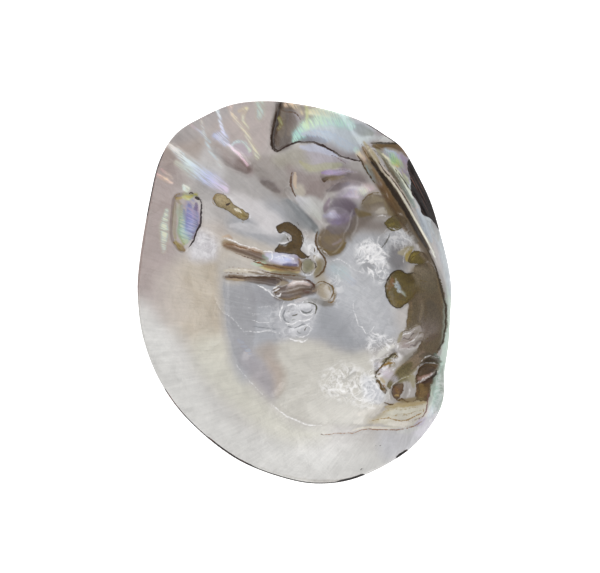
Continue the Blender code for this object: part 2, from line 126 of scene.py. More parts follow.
# Rounded ridges with a path: lift, then points of the path with the half width there
BLISTERS = {
    "upper pearl blister": (2.9, ((-30.5, 21, 1.3), (-23, 18.8, 1.9), (-15, 16, 2.6), (-8, 14.2, 3.3),
        (-0.5, 13, 3.6))),
    "lower pearl blister": (2.9, ((-7, -0.8, 2.6), (-2.5, -0.6, 3.6), (3, 0.8, 3.8), (7.5, 1, 3))),
    "lower blister tail": (1.3, ((-30.5, 6.3, 1.1), (-22, 5.5, 1.6), (-14, 4.8, 2), (-8, 3.6, 1.8))),
    "third blister": (0.9, ((-2.5, -12.3, 3.6), (3, -9.6, 4), (7.2, -8, 3))),
    "fourth blister": (0.6, ((-1, -19, 2.6), (3, -17.6, 2.8), (6.5, -16.2, 2.2))),
    "amber crust": (1.1, ((-33, 41, 3.2), (-29, 38.5, 3), (-25, 35.5, 2.6), (-21.5, 32.8, 2.2))),
    "mauve stub": (1.4, ((13.5, 51.5, 1.7), (18, 52.4, 1.9), (24, 53, 1.4))),
    "lump brow": (1, ((17, 43.5, 2.2), (22, 46, 2.8), (28, 45.5, 3), (33, 43, 2))),
    "lump crown": (0.9, ((14.5, 33, 2.6), (18.5, 34, 3.6), (22, 33.5, 2.6))),
    "posterior blister": (1.4, ((-33, 63.5, 4), (-27, 59.3, 4.8), (-21.5, 55.2, 3.2))),
    "posterior fold": (0.35, ((-55, 64, 3), (-46, 56, 4), (-38, 50.5, 4.5), (-31, 45.5, 3))),
    "pallial line": (0.12, ((-30.5, 10, 1.5), (-30.8, -8, 2.2), (-29, -21, 2.2), (-25.5, -32, 2.2),
        (-18.5, -41.5, 2.2), (-10, -50, 2.2), (0, -56.8, 2.2), (12, -60, 2.2), (25, -60.7, 2.2),
        (35, -60, 1.5))),
    "hooked pit": (-1, ((-6.6, 27.8, 1.5), (-3.5, 28.4, 2.1), (0, 27, 2.4), (2, 24, 2.4), (1.6, 20.3, 2.2),
        (-2, 18.3, 1.9), (-6.8, 18.4, 1.2))),
    "oblique crease": (-0.7, ((-3, 45, 1.6), (2, 39, 2.4), (7, 33, 2.6), (12, 27, 1.8))),
    "socket ridge": (2.2, ((56.3, -39.8, 1.3), (62, -35.4, 1.5))),
    "first fan ridge": (0.8, ((37, -53.5, 1), (46, -50.8, 1.2), (57, -49.5, 1.2))),
    "second fan ridge": (0.8, ((38, -56, 1), (47, -55.5, 1.2), (52.5, -54.8, 1.2), (57.5, -52.2, 1.2))),
    "third fan ridge": (0.8, ((40, -58.8, 1), (50, -58, 1.2), (57.5, -54.8, 1.2))),
}

# Hinge teeth: long ridges that meet at both ends, offset from the crest line by this much midway
TOOTH_CREST = ((30.5, 64.5), (36, 57.5), (43, 48), (50, 36.5), (56.5, 24), (61.5, 13), (65, 3))
TOOTH_OFFSETS = (-5.0, 0.6, 3.8, 7.0)
TOOTH_LIFTS = (1.5, 2.3, 1.5, 1.5)
TOOTH_HALF_WIDTH = 1.7

# Growth rests on the outer face, as shares of the way from the beak to the margin
GROWTH_RESTS = (0.36, 0.50, 0.62, 0.73, 0.82, 0.90, 0.96)
GROWTH_STEP = 0.55
GROWTH_STEP_WIDTH = 0.022

# What the tree that raises the valve is given
GROWTH_INPUTS = {
    "Hollow Depth": HOLLOW_DEPTH,
    "Gentle Power": GENTLE_POWER,
    "Steep Power": STEEP_POWER,
    "Lie Height": LIE_HEIGHT,
    "Lie Slope X": LIE_SLOPE_X,
    "Lie Slope Y": LIE_SLOPE_Y,
    "Growth Line Height": 0.35,
    "Growth Lines": 0.9,
    "Seed": 4.0,
}

# How far painted edges wander from their outlines, and over what distance
WANDER = ((0.35, 6.0), (0.25, 2.2), (0.15, 1.0))
STEADY_BY_THE_TEETH = 12.0

# Low folds that wander over the whole nacre and give it its wavering highlights: lift, mean width
FOLDS = ((0.22, 14.0), (0.10, 5.0))

# Where the nacre is crumpled like foil, raised a little and given painted highlights and painted shade:
# strength, softness, outline
CRUMPLES_LIT_AND_SHADED = (
    (1, 5, ((28, 20), (34, 23), (40, 21), (42, 9), (38, 4), (29, 13))),
    (0.7, 3, ((32, -22), (37, -18), (44, -21), (47, -24), (44, -28), (34, -27))),
    (0.12, 3, ((46, -22), (52, -17), (57, -18), (51, -25), (46, -27))),
    (0.7, 2.4, ((34, -30), (40, -24), (45, -26), (48, -29), (43.6, -33.4), (39.4, -36.6), (37, -46),
        (33, -43))),
    (0.55, 6, ((14, -36), (20, -32), (32, -36), (40, -46), (34, -52), (24, -49), (12, -44))),
    (0.3, 2, ((62, -36), (64.4, -32), (66.4, -36), (66, -48), (61, -58), (58.6, -56), (61.4, -47))),
    (0.22, 6, ((-14, -8), (-4, -4), (9, -3), (11, -9), (8, -16), (-3, -22), (-12, -17))),
    (0.4, 5, ((14, 2), (20, 10), (22, 3), (19, -6))),
    (0.6, 3, ((5, 27), (7, 22), (12, 20), (10, 14), (6, 16))),
    (0.5, 4, ((40, 24), (47, 28), (52, 24), (50, 18), (44, 20))),
    (0.12, 8, ((22, 12), (40, 12), (44, -4), (44, -20), (30, -26), (24, -12))),
    (0.3, 6, ((-46, 22), (-38, 27), (-33, 20), (-37, 15), (-44, 16))),
)
CRUMPLE_LIFT = 0.35
CRUMPLE_SIZES = (5.0, 2.3)

# Relief of the finishes
CRUST_LIFT = 0.16
CRUST_SIZES = (1.9, 1.0)
VEIN_LIFT = 0.16
LINE_DEPTH = 0.12

# Colours under everything: nacre, horny film, crack
NACRE, HORN, CRACK = "#b5b0ad", "#6f6048", "#5a452c"

# Colours of the nacre, with some painted highlights and painted shade among them, broad washes first: colour,
# strength, softness of the edge, outline
WASHES = (
    ("#988884", 0.95, 16, ((-62, 64), (-50, 60), (-50, 20), (-56, -14), (-75, -18), (-75, 30))),
    ("#d5d4d1", 0.95, 20, ((-75, -8), (-58, -14), (-34, -45), (-16, -60), (30, -66), (52, -62), (66, -50),
        (60, -75), (30, -92), (-20, -90), (-60, -60))),
    ("#b5a997", 0.9, 12, ((-52, 12), (-40, 16), (-32, 10), (-30, -24), (-40, -28), (-54, -14), (-56, 0))),
    ("#cfcdc1", 0.8, 10, ((-44, -22), (-31, -20), (-26, -34), (-2, -57), (14, -61), (10, -66), (-10, -64),
        (-40, -38))),
    ("#a5a7ad", 0.9, 8, ((-30.5, 14), (-10, 8), (16, 14), (24, 24), (36, 26), (48, 18), (44, -8), (46, -20),
        (30, -26), (10, -22), (-10, -24), (-22, -40), (-30, -20))),
    ("#c4c1b9", 0.95, 5, ((-8, -24), (6, -22), (22, -27), (33, -27), (38, -36), (42, -46), (34, -53),
        (30, -59), (12, -59.5), (-2, -55.5), (-10, -49), (-6, -38))),
    ("#bfc0c4", 0.8, 10, ((18, 14), (36, 24), (42, 10), (42, -14), (34, -20))),
    ("#9c9ca0", 0.9, 0.9, ((-30.6, 11), (-22, 9), (-17, -6), (-18, -22), (-22, -33), (-26, -29), (-29, -20),
        (-30.8, -6))),
    ("#bec0c4", 0.5, 6, ((18, 8), (28, 6), (30, -4), (24, -8), (18, -4))),
    ("#b4aaa2", 0.5, 8, ((-62, 8), (-50, 8), (-47, -12), (-60, -12))),
    ("#8e8d92", 0.6, 5, ((-16, 2), (-8, -3), (0, -5), (-2, -9), (-20, -4))),
    ("#94969b", 0.65, 7, ((8, -5), (18, -10), (30, -24), (24, -27), (14, -22))),
    # painted shade along the oblique crease
    ("#6f7074", 0.75, 5, ((-10, 46), (0, 40), (10, 28), (5, 27), (-6, 35), (-14, 43))),
    ("#a89a92", 0.8, 10, ((-62, 66), (-46, 74), (-32, 62), (-34, 56), (-46, 60), (-56, 58))),
    ("#aea09c", 0.8, 12, ((-44, 80), (-8, 84), (-16, 56))),
    ("#a9a5a4", 0.8, 10, ((-34, 56), (-14, 58), (-2, 52), (2, 40), (-8, 30), (-30, 30), (-44, 46))),
    ("#b7aba1", 0.7, 8, ((-42, 30), (-22, 26), (-30, 16), (-40, 18))),
    ("#c4c2c8", 0.8, 6, ((-44, 26), (-38, 26), (-33, 20), (-36, 14), (-46, 14))),
    ("#a3a5ab", 0.8, 8, ((-28, 34), (-10, 40), (-2, 34), (-6, 20), (-26, 24))),
    ("#8a7876", 0.85, 4, ((-26, 60), (-20, 58), (-17, 54), (-20, 52))),
    ("#857470", 0.75, 5, ((-34, 64), (-20, 55), (-22, 52.5), (-29, 55), (-34, 60))),
    ("#6f5c57", 0.8, 3, ((-25, 58.5), (-19.5, 55), (-21, 53), (-26, 55.5))),
    ("#b2a6b2", 0.7, 2.5, ((-28, 64.5), (-24, 67), (-20, 65), (-18.5, 61), (-22, 60.5))),
    ("#82776f", 0.6, 4, ((-17, 60), (-1.5, 59), (-2, 42), (-7, 42), (-14, 48), (-18, 54))),
    ("#cac9ca", 0.6, 4, ((-40, 64), (-34, 63), (-31, 55), (-33, 49), (-39, 49), (-42, 56))),
    ("#d6d2d3", 0.8, 4.5, ((-30, 43), (-22, 43), (-6, 33), (-7, 25), (-14, 27), (-20, 33), (-28, 37))),
    ("#75696a", 0.85, 3.5, ((-15, 49.8), (-11, 49.6), (-6, 45.4), (-8, 44.6))),
    ("#9f998c", 0.8, 4, ((-8, 61), (8, 64), (8, 57), (-2, 55), (-9, 57))),
    ("#a9a2ac", 0.8, 5, ((6, 64), (24, 58), (18, 55), (8, 57))),
    ("#a7a58c", 0.7, 2.5, ((4, 57), (10, 54), (18, 57), (22, 55.5), (12, 52.5), (5, 53.5))),
    ("#857673", 0.85, 5, ((-3, 56), (8, 53), (30, 52), (30, 47), (16, 45), (12, 40), (2, 44))),
    ("#bab2a4", 0.8, 2.5, ((0.5, 47), (4, 47.5), (5, 43), (2, 41.5), (0, 44))),
    ("#83797a", 0.8, 4, ((22, 56), (33, 48), (28, 47), (22, 50))),
    ("#cbb9b8", 0.8, 3, ((31, 47.5), (35, 47.5), (37, 45), (33, 44.5))),
    ("#c4c4c2", 0.6, 3, ((2, 41), (10, 42), (14, 38), (14, 33), (8, 35))),
    ("#706672", 0.95, 5, ((15, 38), (21, 43), (27, 40), (28, 34), (25, 29), (17, 29), (14, 33))),
    ("#b5abb6", 0.85, 5, ((20, 45), (26, 47.5), (33, 44), (32, 40.5), (21, 42))),
    ("#766a5c", 0.9, 3.5, ((24, 29), (29, 36), (36, 34), (34, 31), (27, 26), (25, 22), (22, 26))),
    ("#6a5b48", 0.95, 3, ((11, 26), (10, 22), (13, 17.5), (17.5, 15.5), (21, 18), (23.5, 26), (20, 28.5),
        (14, 29))),
    ("#74654f", 0.9, 3.5, ((29, 37), (32, 43), (38, 44), (44, 40), (50, 31), (56, 22), (52, 24), (46, 31),
        (38, 35), (33, 35))),
    ("#9a8f84", 0.7, 3.5, ((34, 37), (40, 38), (43, 35), (38, 32.5))),
    ("#7d7a7c", 0.85, 5, ((43, 20), (48, 22), (51, 17), (49, 10), (44, 9), (42, 14))),
    # painted highlights: bright white patches on the crumpled nacre right of the lump
    ("#f0f0f2", 0.8, 4, ((36, 18), (39, 16), (40, 12), (37, 12), (34, 15))),
    ("#e4e4e6", 0.7, 4, ((28, 19), (34, 22), (37, 19), (33, 16), (29, 16))),
    ("#776c66", 0.75, 5, ((25, 31), (31, 33), (43, 30), (40, 27), (31, 27), (26, 26))),
    ("#c3c5cb", 0.7, 3, ((40, 25), (47, 28), (52, 24), (49, 21), (43, 22))),
    # the hooked crumple of silver beside the pit
    ("#c6c7ca", 0.8, 3, ((3, 24), (9, 22), (12, 18), (11, 14), (3, 19))),
    # round the pearl blisters
    ("#c1b9ae", 0.7, 4, ((-32, 25), (-12, 21), (-2, 15), (2, 8), (-10, 8), (-30, 4))),
    ("#8e7651", 0.8, 1.8, ((-31, 22.6), (-24, 21), (-16, 18), (-12, 16), (-13, 13.4), (-18, 14.6),
        (-25, 17.5), (-31, 19.5))),
    ("#7d6238", 0.8, 1.6, ((-16, 12.6), (-8, 11.6), (2, 11.2), (3, 8.6), (-2, 8.4), (-10, 9.6), (-17, 11.6))),
    ("#c9c4dc", 0.9, 2, ((-12, 17.4), (-6, 17.2), (1, 15.6), (2.6, 12.6), (-2, 11.6), (-8, 12.6),
        (-12, 14.4))),
    ("#59452f", 0.85, 1.5, ((-31, 7.2), (-20, 6.6), (-12, 6.6), (-4, 5.6), (-3, 3.6), (-10, 3), (-18, 4.4),
        (-30, 5.6))),
    ("#65544a", 0.9, 1.6, ((-9, 1), (-3, 3.4), (5, 4.6), (10, 3), (10, -0.4), (5, -1.8), (-5, -4.2),
        (-9, -3))),
    # painted highlight along the top of the lower pearl blister
    ("#cfc6c6", 0.7, 1.6, ((-3, 2.4), (2, 4.2), (7, 4.2), (7, 2.4), (-2, 0.8))),
    ("#8d8972", 0.9, 1.6, ((3.6, 11), (4.4, 13.4), (6.4, 14), (8.6, 12.8), (9, 10.6), (7.8, 8.8), (5.6, 8.2),
        (4, 9.2))),
    ("#93897e", 0.9, 1.6, ((9.8, 0.5), (11, 2.8), (13.6, 3.4), (15.8, 2.2), (16.4, -0.4), (15, -2.6),
        (12.6, -3), (10.6, -2))),
    ("#c2c2c6", 0.5, 4, ((-7, -8), (-2, -5), (9, -5), (10, -12), (6, -18), (-4, -20), (-8, -16))),
    # the amber cushion, violet on the left
    ("#a09ba0", 0.8, 7, ((-21, -27), (-9, -34), (-7.5, -44), (-11, -47.5), (-23, -33))),
    ("#ac9d90", 0.7, 5.5, ((-13, -29), (-8, -30.5), (-4.2, -36), (-4.4, -43), (-8, -46), (-9.5, -38))),
    ("#c6c5c2", 0.6, 8, ((-72, -6), (-61, -10), (-57, -30), (-60, -42), (-74, -30))),
    ("#a79a8e", 0.6, 5, ((-18, -26), (-12, -23), (-7.5, -25), (-9, -28.5), (-15, -29))),
    ("#c8cbd4", 0.7, 4, ((31, -38), (37, -40), (40, -46), (38, -50), (31, -47))),
    ("#c8c8ce", 0.7, 7, ((38, -63), (50, -61), (60, -56), (62, -60), (50, -71), (40, -74))),
    # the fan below the tooth socket
    ("#c6bb9e", 0.85, 2.5, ((33, -57.6), (45, -50.4), (52, -48.6), (58, -47), (59, -50), (48, -54),
        (40, -58))),
    ("#d6d1c2", 0.9, 2, ((40, -54.5), (46, -52.5), (54, -51), (58, -50), (58.4, -54), (55, -58), (44, -60),
        (38, -58))),
    # the pale strip between the hinge teeth and the margin, green below the beak
    ("#b6bcc0", 0.95, 1.6, ((48, 50), (53.5, 40), (62, 22), (66, 8), (68, -2), (72, 0), (70, 14), (66, 30),
        (56, 44), (50, 52))),
    ("#bfcdc4", 0.95, 2, ((67, 2), (67.6, -10), (66.2, -20), (64, -28), (63.6, -38), (61, -45), (60, -54),
        (68, -52), (72, -20))),
    ("#d8d5dc", 0.8, 3, ((59, -53), (57, -58), (52, -62), (58, -64), (64, -56), (62, -50))),
    # inside the two ledges
    ("#9c9496", 0.95, 1.4, PATCHES["posterior ledge"][2]),
    ("#4e4136", 0.9, 4, ((-6.5, 86), (-9, 74), (-9.8, 65), (-6, 62.6), (-0.5, 66), (-2, 76), (1, 82))),
    ("#cdd8e0", 0.85, 5, ((3, 68), (12, 68), (24, 62), (32, 66), (34, 72), (22, 76), (6, 75))),
    ("#b4ab9e", 0.8, 4, ((2, 84), (8, 84), (16, 80), (12, 78), (5, 78))),
    ("#9d9aa0", 0.95, 2.5, ((34.5, 64), (46, 64), (54, 54), (50, 47), (44, 52), (38, 58))),
    ("#665739", 0.95, 1.8, ((34.6, 65.6), (40, 65.4), (46.6, 65.4), (49, 62), (44, 63), (37, 62.2))),
    ("#bfc6c6", 0.7, 3.5, ((26, 68), (34, 69), (42, 67), (36, 66.6), (30, 65))),
    ("#a59f9f", 0.75, 6, ((-58, 66), (-50, 76), (-28, 86), (-26, 79), (-36, 74), (-46, 66))),
    ("#a69a84", 0.7, 4, ((8, 12), (16, 4), (17, -3), (13, -5))),
)

# Brown horny films that lie on the nacre: colour, dark edge, softness, outline
FILMS = (
    ("#6f6048", 0.1, 3, ((53, 10), (56.6, 13), (60.4, 12), (63, 8), (65.4, 2), (67.4, -10), (67, -17),
        (63, -27), (57.6, -31), (51.6, -36), (46, -39.6), (42, -43.4), (41.4, -41), (46, -35.6),
        (53.4, -26.6), (57, -20), (55, -14.6), (51, -17), (50.2, -15), (50.6, -9.6), (51.4, -6), (50.6, -1),
        (54, 3))),
    ("#66561f", 0.9, 1.4, ((43.4, 8), (46.6, 9.3), (50, 8), (53.6, 8), (56.4, 4.6), (54, -0.6), (50.6, -5),
        (47, -7.3), (43.6, -5.8), (41.3, -1.4), (40.9, 3.2))),
    ("#75652c", 0.3, 1.6, ((50.6, 14.6), (52, 17.4), (54.6, 18), (57.6, 16.6), (59, 14), (56, 12.2),
        (51.4, 12.6))),
    ("#6f6230", 0.2, 1.6, ((40, 30.6), (41.4, 27.6), (44.6, 26.6), (47.4, 28), (50, 31), (46, 34), (43, 33))),
    ("#9b8b66", 0.5, 1.4, ((-35.8, 41.4), (-34, 43.6), (-31.4, 43.6), (-28.6, 41.4), (-26.4, 38.6),
        (-23.4, 36.6), (-20.6, 34.6), (-20.4, 32.6), (-22.4, 31.4), (-25, 32.4), (-30.4, 36.4), (-33.8, 38))),
    ("#553f12", 1, 1.4, ((-7.6, 28.2), (-6.4, 29.8), (-3.4, 30.8), (-0.2, 30.2), (2.6, 27.6), (4.2, 24.4),
        (4.2, 21.4), (2.8, 18.6), (5.4, 15.6), (3.6, 14.4), (0.6, 16.2), (-6, 17.4), (-8.4, 18.2),
        (-6.8, 21.2), (-5, 20.8), (-2.6, 21.6), (-1.2, 22.6), (-0.8, 24.4), (-2.4, 26), (-4.4, 26.4),
        (-6.4, 26))),
    ("#7a6330", 0.4, 1.6, ((44.6, -27.2), (46.6, -28), (47, -29.6), (43.2, -30), (40.8, -32), (38.6, -35.8),
        (36.6, -38.6), (36, -36), (40, -30.8))),
    ("#775d2c", 0.6, 1.6, ((36, -40), (38, -40.4), (40.6, -43.4), (40, -45.4), (38, -43))),
    ("#6b5038", 0.3, 1.8, ((43.4, -46.5), (43.6, -42.6), (46, -41), (48.6, -41), (48, -44.4), (46, -48))),
    ("#6a5232", 0.2, 2.6, ((53.8, -39), (55.8, -33.4), (60.3, -30.2), (64, -32.3), (63.2, -37), (61, -41),
        (59.4, -48), (54, -47.5), (54.6, -42))),
)

# Thin lines: colour, strength, half width, path
LINES = (
    # the posterior ledge
    ("#2c1808", 1, 0.9, ((-5.6, 83.4), (-8.2, 77), (-7.4, 74.6), (-8.8, 72), (-9.6, 68), (-9.4, 64.6),
        (-8.2, 62.6), (-6, 63))),
    ("#2e1a12", 1, 0.6, ((-7, 62.8), (-4, 64.2), (1, 65.8), (6, 66.3), (11, 65.3), (16, 62.9), (21, 59.9),
        (29, 57.4))),
    ("#59402a", 0.85, 0.45, ((-6, 80.6), (-3, 79.4), (0, 78.8), (2, 77.4), (3, 75.8))),
    ("#6f4f52", 0.8, 0.35, ((16.6, 60.4), (19, 59.4), (21.6, 57.6), (23.4, 56.2))),
    # the wing
    ("#3a2c18", 0.95, 0.55, ((34, 65.2), (37.5, 65.3), (41, 65.4), (46, 65.1))),
    ("#54453e", 0.6, 0.35, ((46.4, 64.6), (49, 61), (51.6, 57))),
    # the cut beside the mauve stub
    ("#54361c", 0.95, 0.55, ((-0.8, 53.6), (-1.4, 50), (-1.1, 46), (0.8, 41.6))),
    ("#4a3420", 0.9, 0.6, ((12.2, 50.2), (13.4, 49.4), (15, 49.8))),
    ("#6d5870", 0.6, 0.4, ((13, 53.2), (17, 53.8), (22, 53.8), (26, 52.6), (30, 52.2))),
    ("#8a6660", 0.6, 0.3, ((5.2, 41.8), (5.6, 44), (7.2, 46.4), (6.2, 48))),
    # the worn window's torn right rim
    ("#251619", 1, 0.55, ((-41.6, 40.8), (-40.9, 37.6), (-41.5, 31), (-42.6, 28), (-43.6, 25), (-45, 22),
        (-47, 19.4))),
    ("#2a1c14", 1, 0.9, ((-44, 41.4), (-43, 41.4), (-42.2, 40.8))),
    ("#35291a", 0.9, 0.5, ((-46.6, 43.4), (-45.6, 44), (-44.6, 43))),
    ("#8d7440", 0.8, 0.4, ((-53.6, 41), (-52.6, 43), (-50, 43.4))),
    ("#826b28", 0.8, 0.4, ((-54, 22.4), (-52.6, 20.8), (-51, 19.6), (-50.4, 18.2))),
    # the amber crust
    ("#33210f", 0.95, 0.7, ((-30.4, 38.6), (-29.4, 38.9), (-28.4, 39.6))),
    ("#8f7548", 0.8, 0.4, ((-33.4, 43.8), (-35.4, 42), (-35.8, 39.8), (-34.4, 38))),
    ("#8a6f3c", 0.7, 0.35, ((-34, 40.6), (-33, 41.8), (-31, 41.2), (-30.4, 39.6))),
    ("#7d6330", 0.75, 0.4, ((-28, 35.4), (-25.6, 33.6), (-24, 32))),
    ("#6a5420", 0.85, 0.8, ((-23.4, 33.8), (-22, 33.2), (-20.8, 33))),
    ("#8d7a4c", 0.7, 0.5, ((-24.2, 31), (-22.8, 30.6), (-21.6, 31))),
    # the long cut from the lump round the upper ring
    ("#5a452c", 0.95, 0.55, ((10.4, 26.6), (9.7, 23.6), (10, 20.6), (13.2, 15), (13.9, 12.4), (13.2, 9.6),
        (11.4, 7.4), (9.6, 6.2))),
    ("#3f2f16", 0.95, 0.4, ((8.8, 13.2), (9.6, 11.2), (9, 9.4))),
    ("#5a4c30", 0.8, 0.3, ((8.4, 13.4), (6.4, 14.4), (4.2, 13.5), (3.2, 11.2), (4.2, 9), (6.4, 8.1),
        (8.2, 8.9))),
    ("#3f3020", 0.9, 0.45, ((4, 16.2), (5.2, 15.6), (6.2, 15.2), (7.4, 16))),
    ("#46361f", 0.9, 0.4, ((8.2, 16.6), (8.8, 18), (9, 19.4))),
    ("#57451f", 0.8, 0.4, ((4.8, 8.6), (5.8, 8.2))),
    ("#4b4238", 0.8, 0.3, ((1.2, 31), (2.2, 30.2), (2.4, 28.8))),
    ("#3a3226", 0.9, 0.35, ((-3.8, 24.4), (-2.8, 23.6), (-2.2, 22.4))),
    ("#5a4f40", 0.8, 0.3, ((-1.8, 24.2), (-1, 23.4))),
    # the lower ring
    ("#6d5730", 0.9, 0.45, ((9.6, 3), (12, 4.2), (14.6, 3.8), (16.8, 2.2), (17.6, -0.4), (17, -2.4),
        (15.6, -3.8))),
    ("#8f7b52", 0.7, 0.35, ((10.4, 1.2), (12.4, 3.1), (15, 2.4), (16.4, 0.2), (16, -2))),
    ("#7b6038", 0.8, 0.5, ((18.4, -1.6), (18, -3.6), (16.6, -4.8), (15, -4.6))),
    # the silver outlines
    ("#4f4c3e", 0.9, 0.6, ((6.4, -4.8), (8.6, -5.8), (9.8, -7.8), (9.4, -10.2))),
    ("#4a4436", 0.85, 0.35, ((5.6, -15.6), (4.9, -16.8), (4.7, -18))),
    ("#5c5a4f", 0.75, 0.6, ((-1.2, -10.8), (0.4, -10.4), (1.8, -9.8))),
    ("#8a8c88", 0.65, 0.5, ((-3.4, -11.6), (-0.8, -12.6), (2, -11.6))),
    ("#7f817c", 0.7, 0.4, ((-3.6, -9.6), (-1.6, -8.6), (0.8, -8.4))),
    ("#77797a", 0.9, 0.5, ((2.6, -8.4), (4.6, -9.6), (7, -9.4), (8.4, -7.6))),
    ("#84868a", 0.85, 0.5, ((-3.4, -6.8), (-4.6, -9.4), (-4.2, -12.2), (-2.4, -13.6))),
    ("#808286", 0.85, 0.5, ((-3, -15.4), (0.4, -16), (3.6, -14.6), (6.4, -14.2))),
    ("#8a8c90", 0.8, 0.5, ((-20, -15.2), (-14, -16.4), (-8, -17))),
    ("#8f9192", 0.8, 0.4, ((1.4, -17.6), (2.6, -18.6), (4, -18.2))),
    ("#77715f", 0.6, 0.35, ((0.6, -21.8), (2.6, -21), (4.6, -20.4))),
    # along the pearl blisters
    ("#4a3423", 0.95, 0.5, ((-31, 6.6), (-26, 6.2), (-20, 6.1), (-14, 6.5), (-9.6, 6.4), (-5.4, 4.8))),
    ("#6a4a30", 0.8, 0.35, ((-31, 8.4), (-26, 8.3), (-20, 7.8))),
    ("#84684a", 0.7, 0.35, ((-30, 10.8), (-26, 10.9), (-20, 10), (-14, 9.2))),
    ("#5d4329", 0.9, 0.45, ((-16, 9.6), (-8, 7.8), (-2, 7.3), (3, 7.4))),
    ("#7c5c3e", 0.85, 0.4, ((-31, 20.6), (-27, 20.8), (-22, 19.4), (-18, 17.8), (-14, 16.4))),
    ("#5a4030", 0.85, 0.4, ((-26, 17.4), (-22, 15.8), (-18.6, 14.4), (-15.4, 13.4))),
    ("#64482c", 0.85, 0.5, ((-19, 13.6), (-15, 12.4), (-5, 10.6), (1, 10))),
    ("#a05c34", 0.8, 0.5, ((-16.6, 13), (-15, 12.8), (-13.6, 12.6))),
    ("#4c3023", 0.9, 0.6, ((4.4, 5.3), (6.6, 5), (8.6, 3.6), (9.4, 2))),
    ("#563628", 0.9, 1, ((4.4, 0.6), (5.6, 0), (7, 0.2))),
    ("#6e5528", 0.85, 0.35, ((-9.6, 0.6), (-8, 1.5), (-6.6, 1.9))),
    ("#5f4a22", 0.85, 0.4, ((-8.8, -1), (-7, 0.2), (-5.8, 0.6))),
    ("#6e5a2c", 0.85, 0.45, ((-7.6, -2.9), (-5.6, -3.3), (-3.4, -4), (0, -3.2), (4, -2.3))),
    ("#544036", 0.8, 0.35, ((0.8, 4), (1.4, 3.6))),
    ("#544036", 0.8, 0.3, ((3.2, 3.4), (3.9, 3))),
    ("#6b5a4c", 0.8, 0.3, ((-16, 2.6), (-15.8, 1.8))),
    ("#7b7468", 0.7, 0.4, ((-17, 26.8), (-16.2, 26.2))),
    ("#6f6a62", 0.7, 0.3, ((-22, 22.2), (-21, 22.4))),
    ("#5f5648", 0.7, 0.35, ((-17.6, 22.2), (-16.8, 22.2))),
    # the golden and olive lobes
    ("#6b5a3c", 0.8, 0.5, ((29.6, 38), (30.6, 40.6), (33, 42.8), (36.4, 43.8), (40, 43.2), (41.8, 41.6))),
    ("#7d6d50", 0.6, 0.4, ((30.6, 37), (33, 39.6), (37, 41), (40, 40))),
    ("#5a4f1e", 0.8, 0.5, ((40.6, 28.6), (42, 27.4), (44.4, 26.9), (46.8, 27.8))),
    ("#6b6a66", 0.8, 0.55, ((39, 19.6), (40.4, 21.6), (41.6, 23.8), (42.2, 25.4))),
    # the kidney pit and the knob
    ("#35280f", 0.9, 0.35, ((49.6, 8.2), (47, 9.3), (43.8, 8.2), (41.5, 5.4), (40.9, 2.4), (41.4, -1),
        (42.6, -4.4), (44.6, -6.6), (47, -7.3), (49.2, -6), (50.8, -5.2))),
    ("#5f4c10", 0.7, 0.4, ((51, 13.2), (51, 14.8), (52, 16.8), (54, 17.6))),
    ("#554410", 0.8, 0.4, ((51.6, 13.6), (52.6, 15.4), (54.8, 16.6))),
    ("#6b5a24", 0.7, 0.4, ((55, 4.8), (57.4, 4.8), (60, 3.4))),
    # where the hinge crest meets the outer strip
    ("#3c2f1a", 0.9, 0.55, ((58, 19.6), (62.8, 9), (66, -5), (66.7, -10), (66.4, -16), (65.2, -21.4),
        (63, -26))),
    # hinge teeth
    ("#4d3c24", 0.85, 0.5, ((27.6, 60.6), (29.4, 58), (33.4, 51), (35.6, 48))),
    ("#6b5230", 0.8, 0.4, ((29.6, 65), (31, 61.8), (33, 58.4), (35.4, 55.2))),
    ("#241500", 1, 1.1, ((34, 57), (40.4, 48.8), (49.6, 34.6), (58, 19.6))),
    ("#4a3b2a", 0.9, 0.4, ((36.2, 58.4), (40.2, 52.6), (43.4, 49), (49, 41), (53.4, 33))),
    ("#51443a", 0.8, 0.35, ((39.6, 55.6), (42.2, 52.4), (44.6, 49.2), (48.8, 42.8))),
    ("#4b4a3a", 0.85, 0.45, ((44.4, 54), (48.6, 48.4), (52.6, 42.4))),
    ("#6f6750", 0.7, 0.4, ((33.4, 64), (35.8, 61.4), (38.2, 58.6))),
    # about the tooth socket
    ("#3a3020", 0.9, 0.4, ((56, -32.4), (58, -30.6), (60.6, -29.9), (63, -30.6))),
    ("#3a2a1a", 0.85, 0.35, ((55, -35.6), (57.2, -33.6), (60.2, -33), (62.4, -33.8))),
    ("#2c2016", 0.9, 0.6, ((62.8, -34.6), (62.4, -36.4), (61, -38.4))),
    ("#6b4a3a", 0.8, 0.4, ((60.4, -41), (60, -44), (59.6, -46.6), (58.8, -50))),
    ("#5e4628", 0.85, 0.4, ((58, -47.2), (55, -47.6), (52.4, -48.8))),
    ("#5b3f1e", 0.8, 0.4, ((54.4, -41), (55, -44), (54.6, -47))),
    ("#4a3420", 0.9, 0.45, ((43.4, -42.8), (43.2, -45), (43.8, -46.8))),
    ("#6f4a34", 0.8, 0.4, ((45.6, -42), (46.8, -43.4), (47.6, -42))),
    ("#60491f", 0.85, 0.5, ((44.8, -47.6), (46, -48.4), (47.6, -47.6), (49.6, -48.8), (51.6, -48.8))),
    ("#5e4824", 0.9, 0.45, ((39.6, -49.4), (41, -50), (42.6, -50.4), (43.8, -49.8))),
    ("#7a5450", 0.85, 0.4, ((59.4, -44.6), (59.2, -48), (58.6, -51), (57.4, -54), (55, -56.6))),
    # about the anterior scar
    ("#3e3216", 0.95, 0.5, ((46, -28.6), (44.6, -28), (42.8, -29.2), (39, -33.2), (37, -35.6), (36, -38))),
    ("#8a6b2c", 0.9, 0.6, ((45.4, -31.8), (42.6, -32), (40, -32.8), (37.8, -34))),
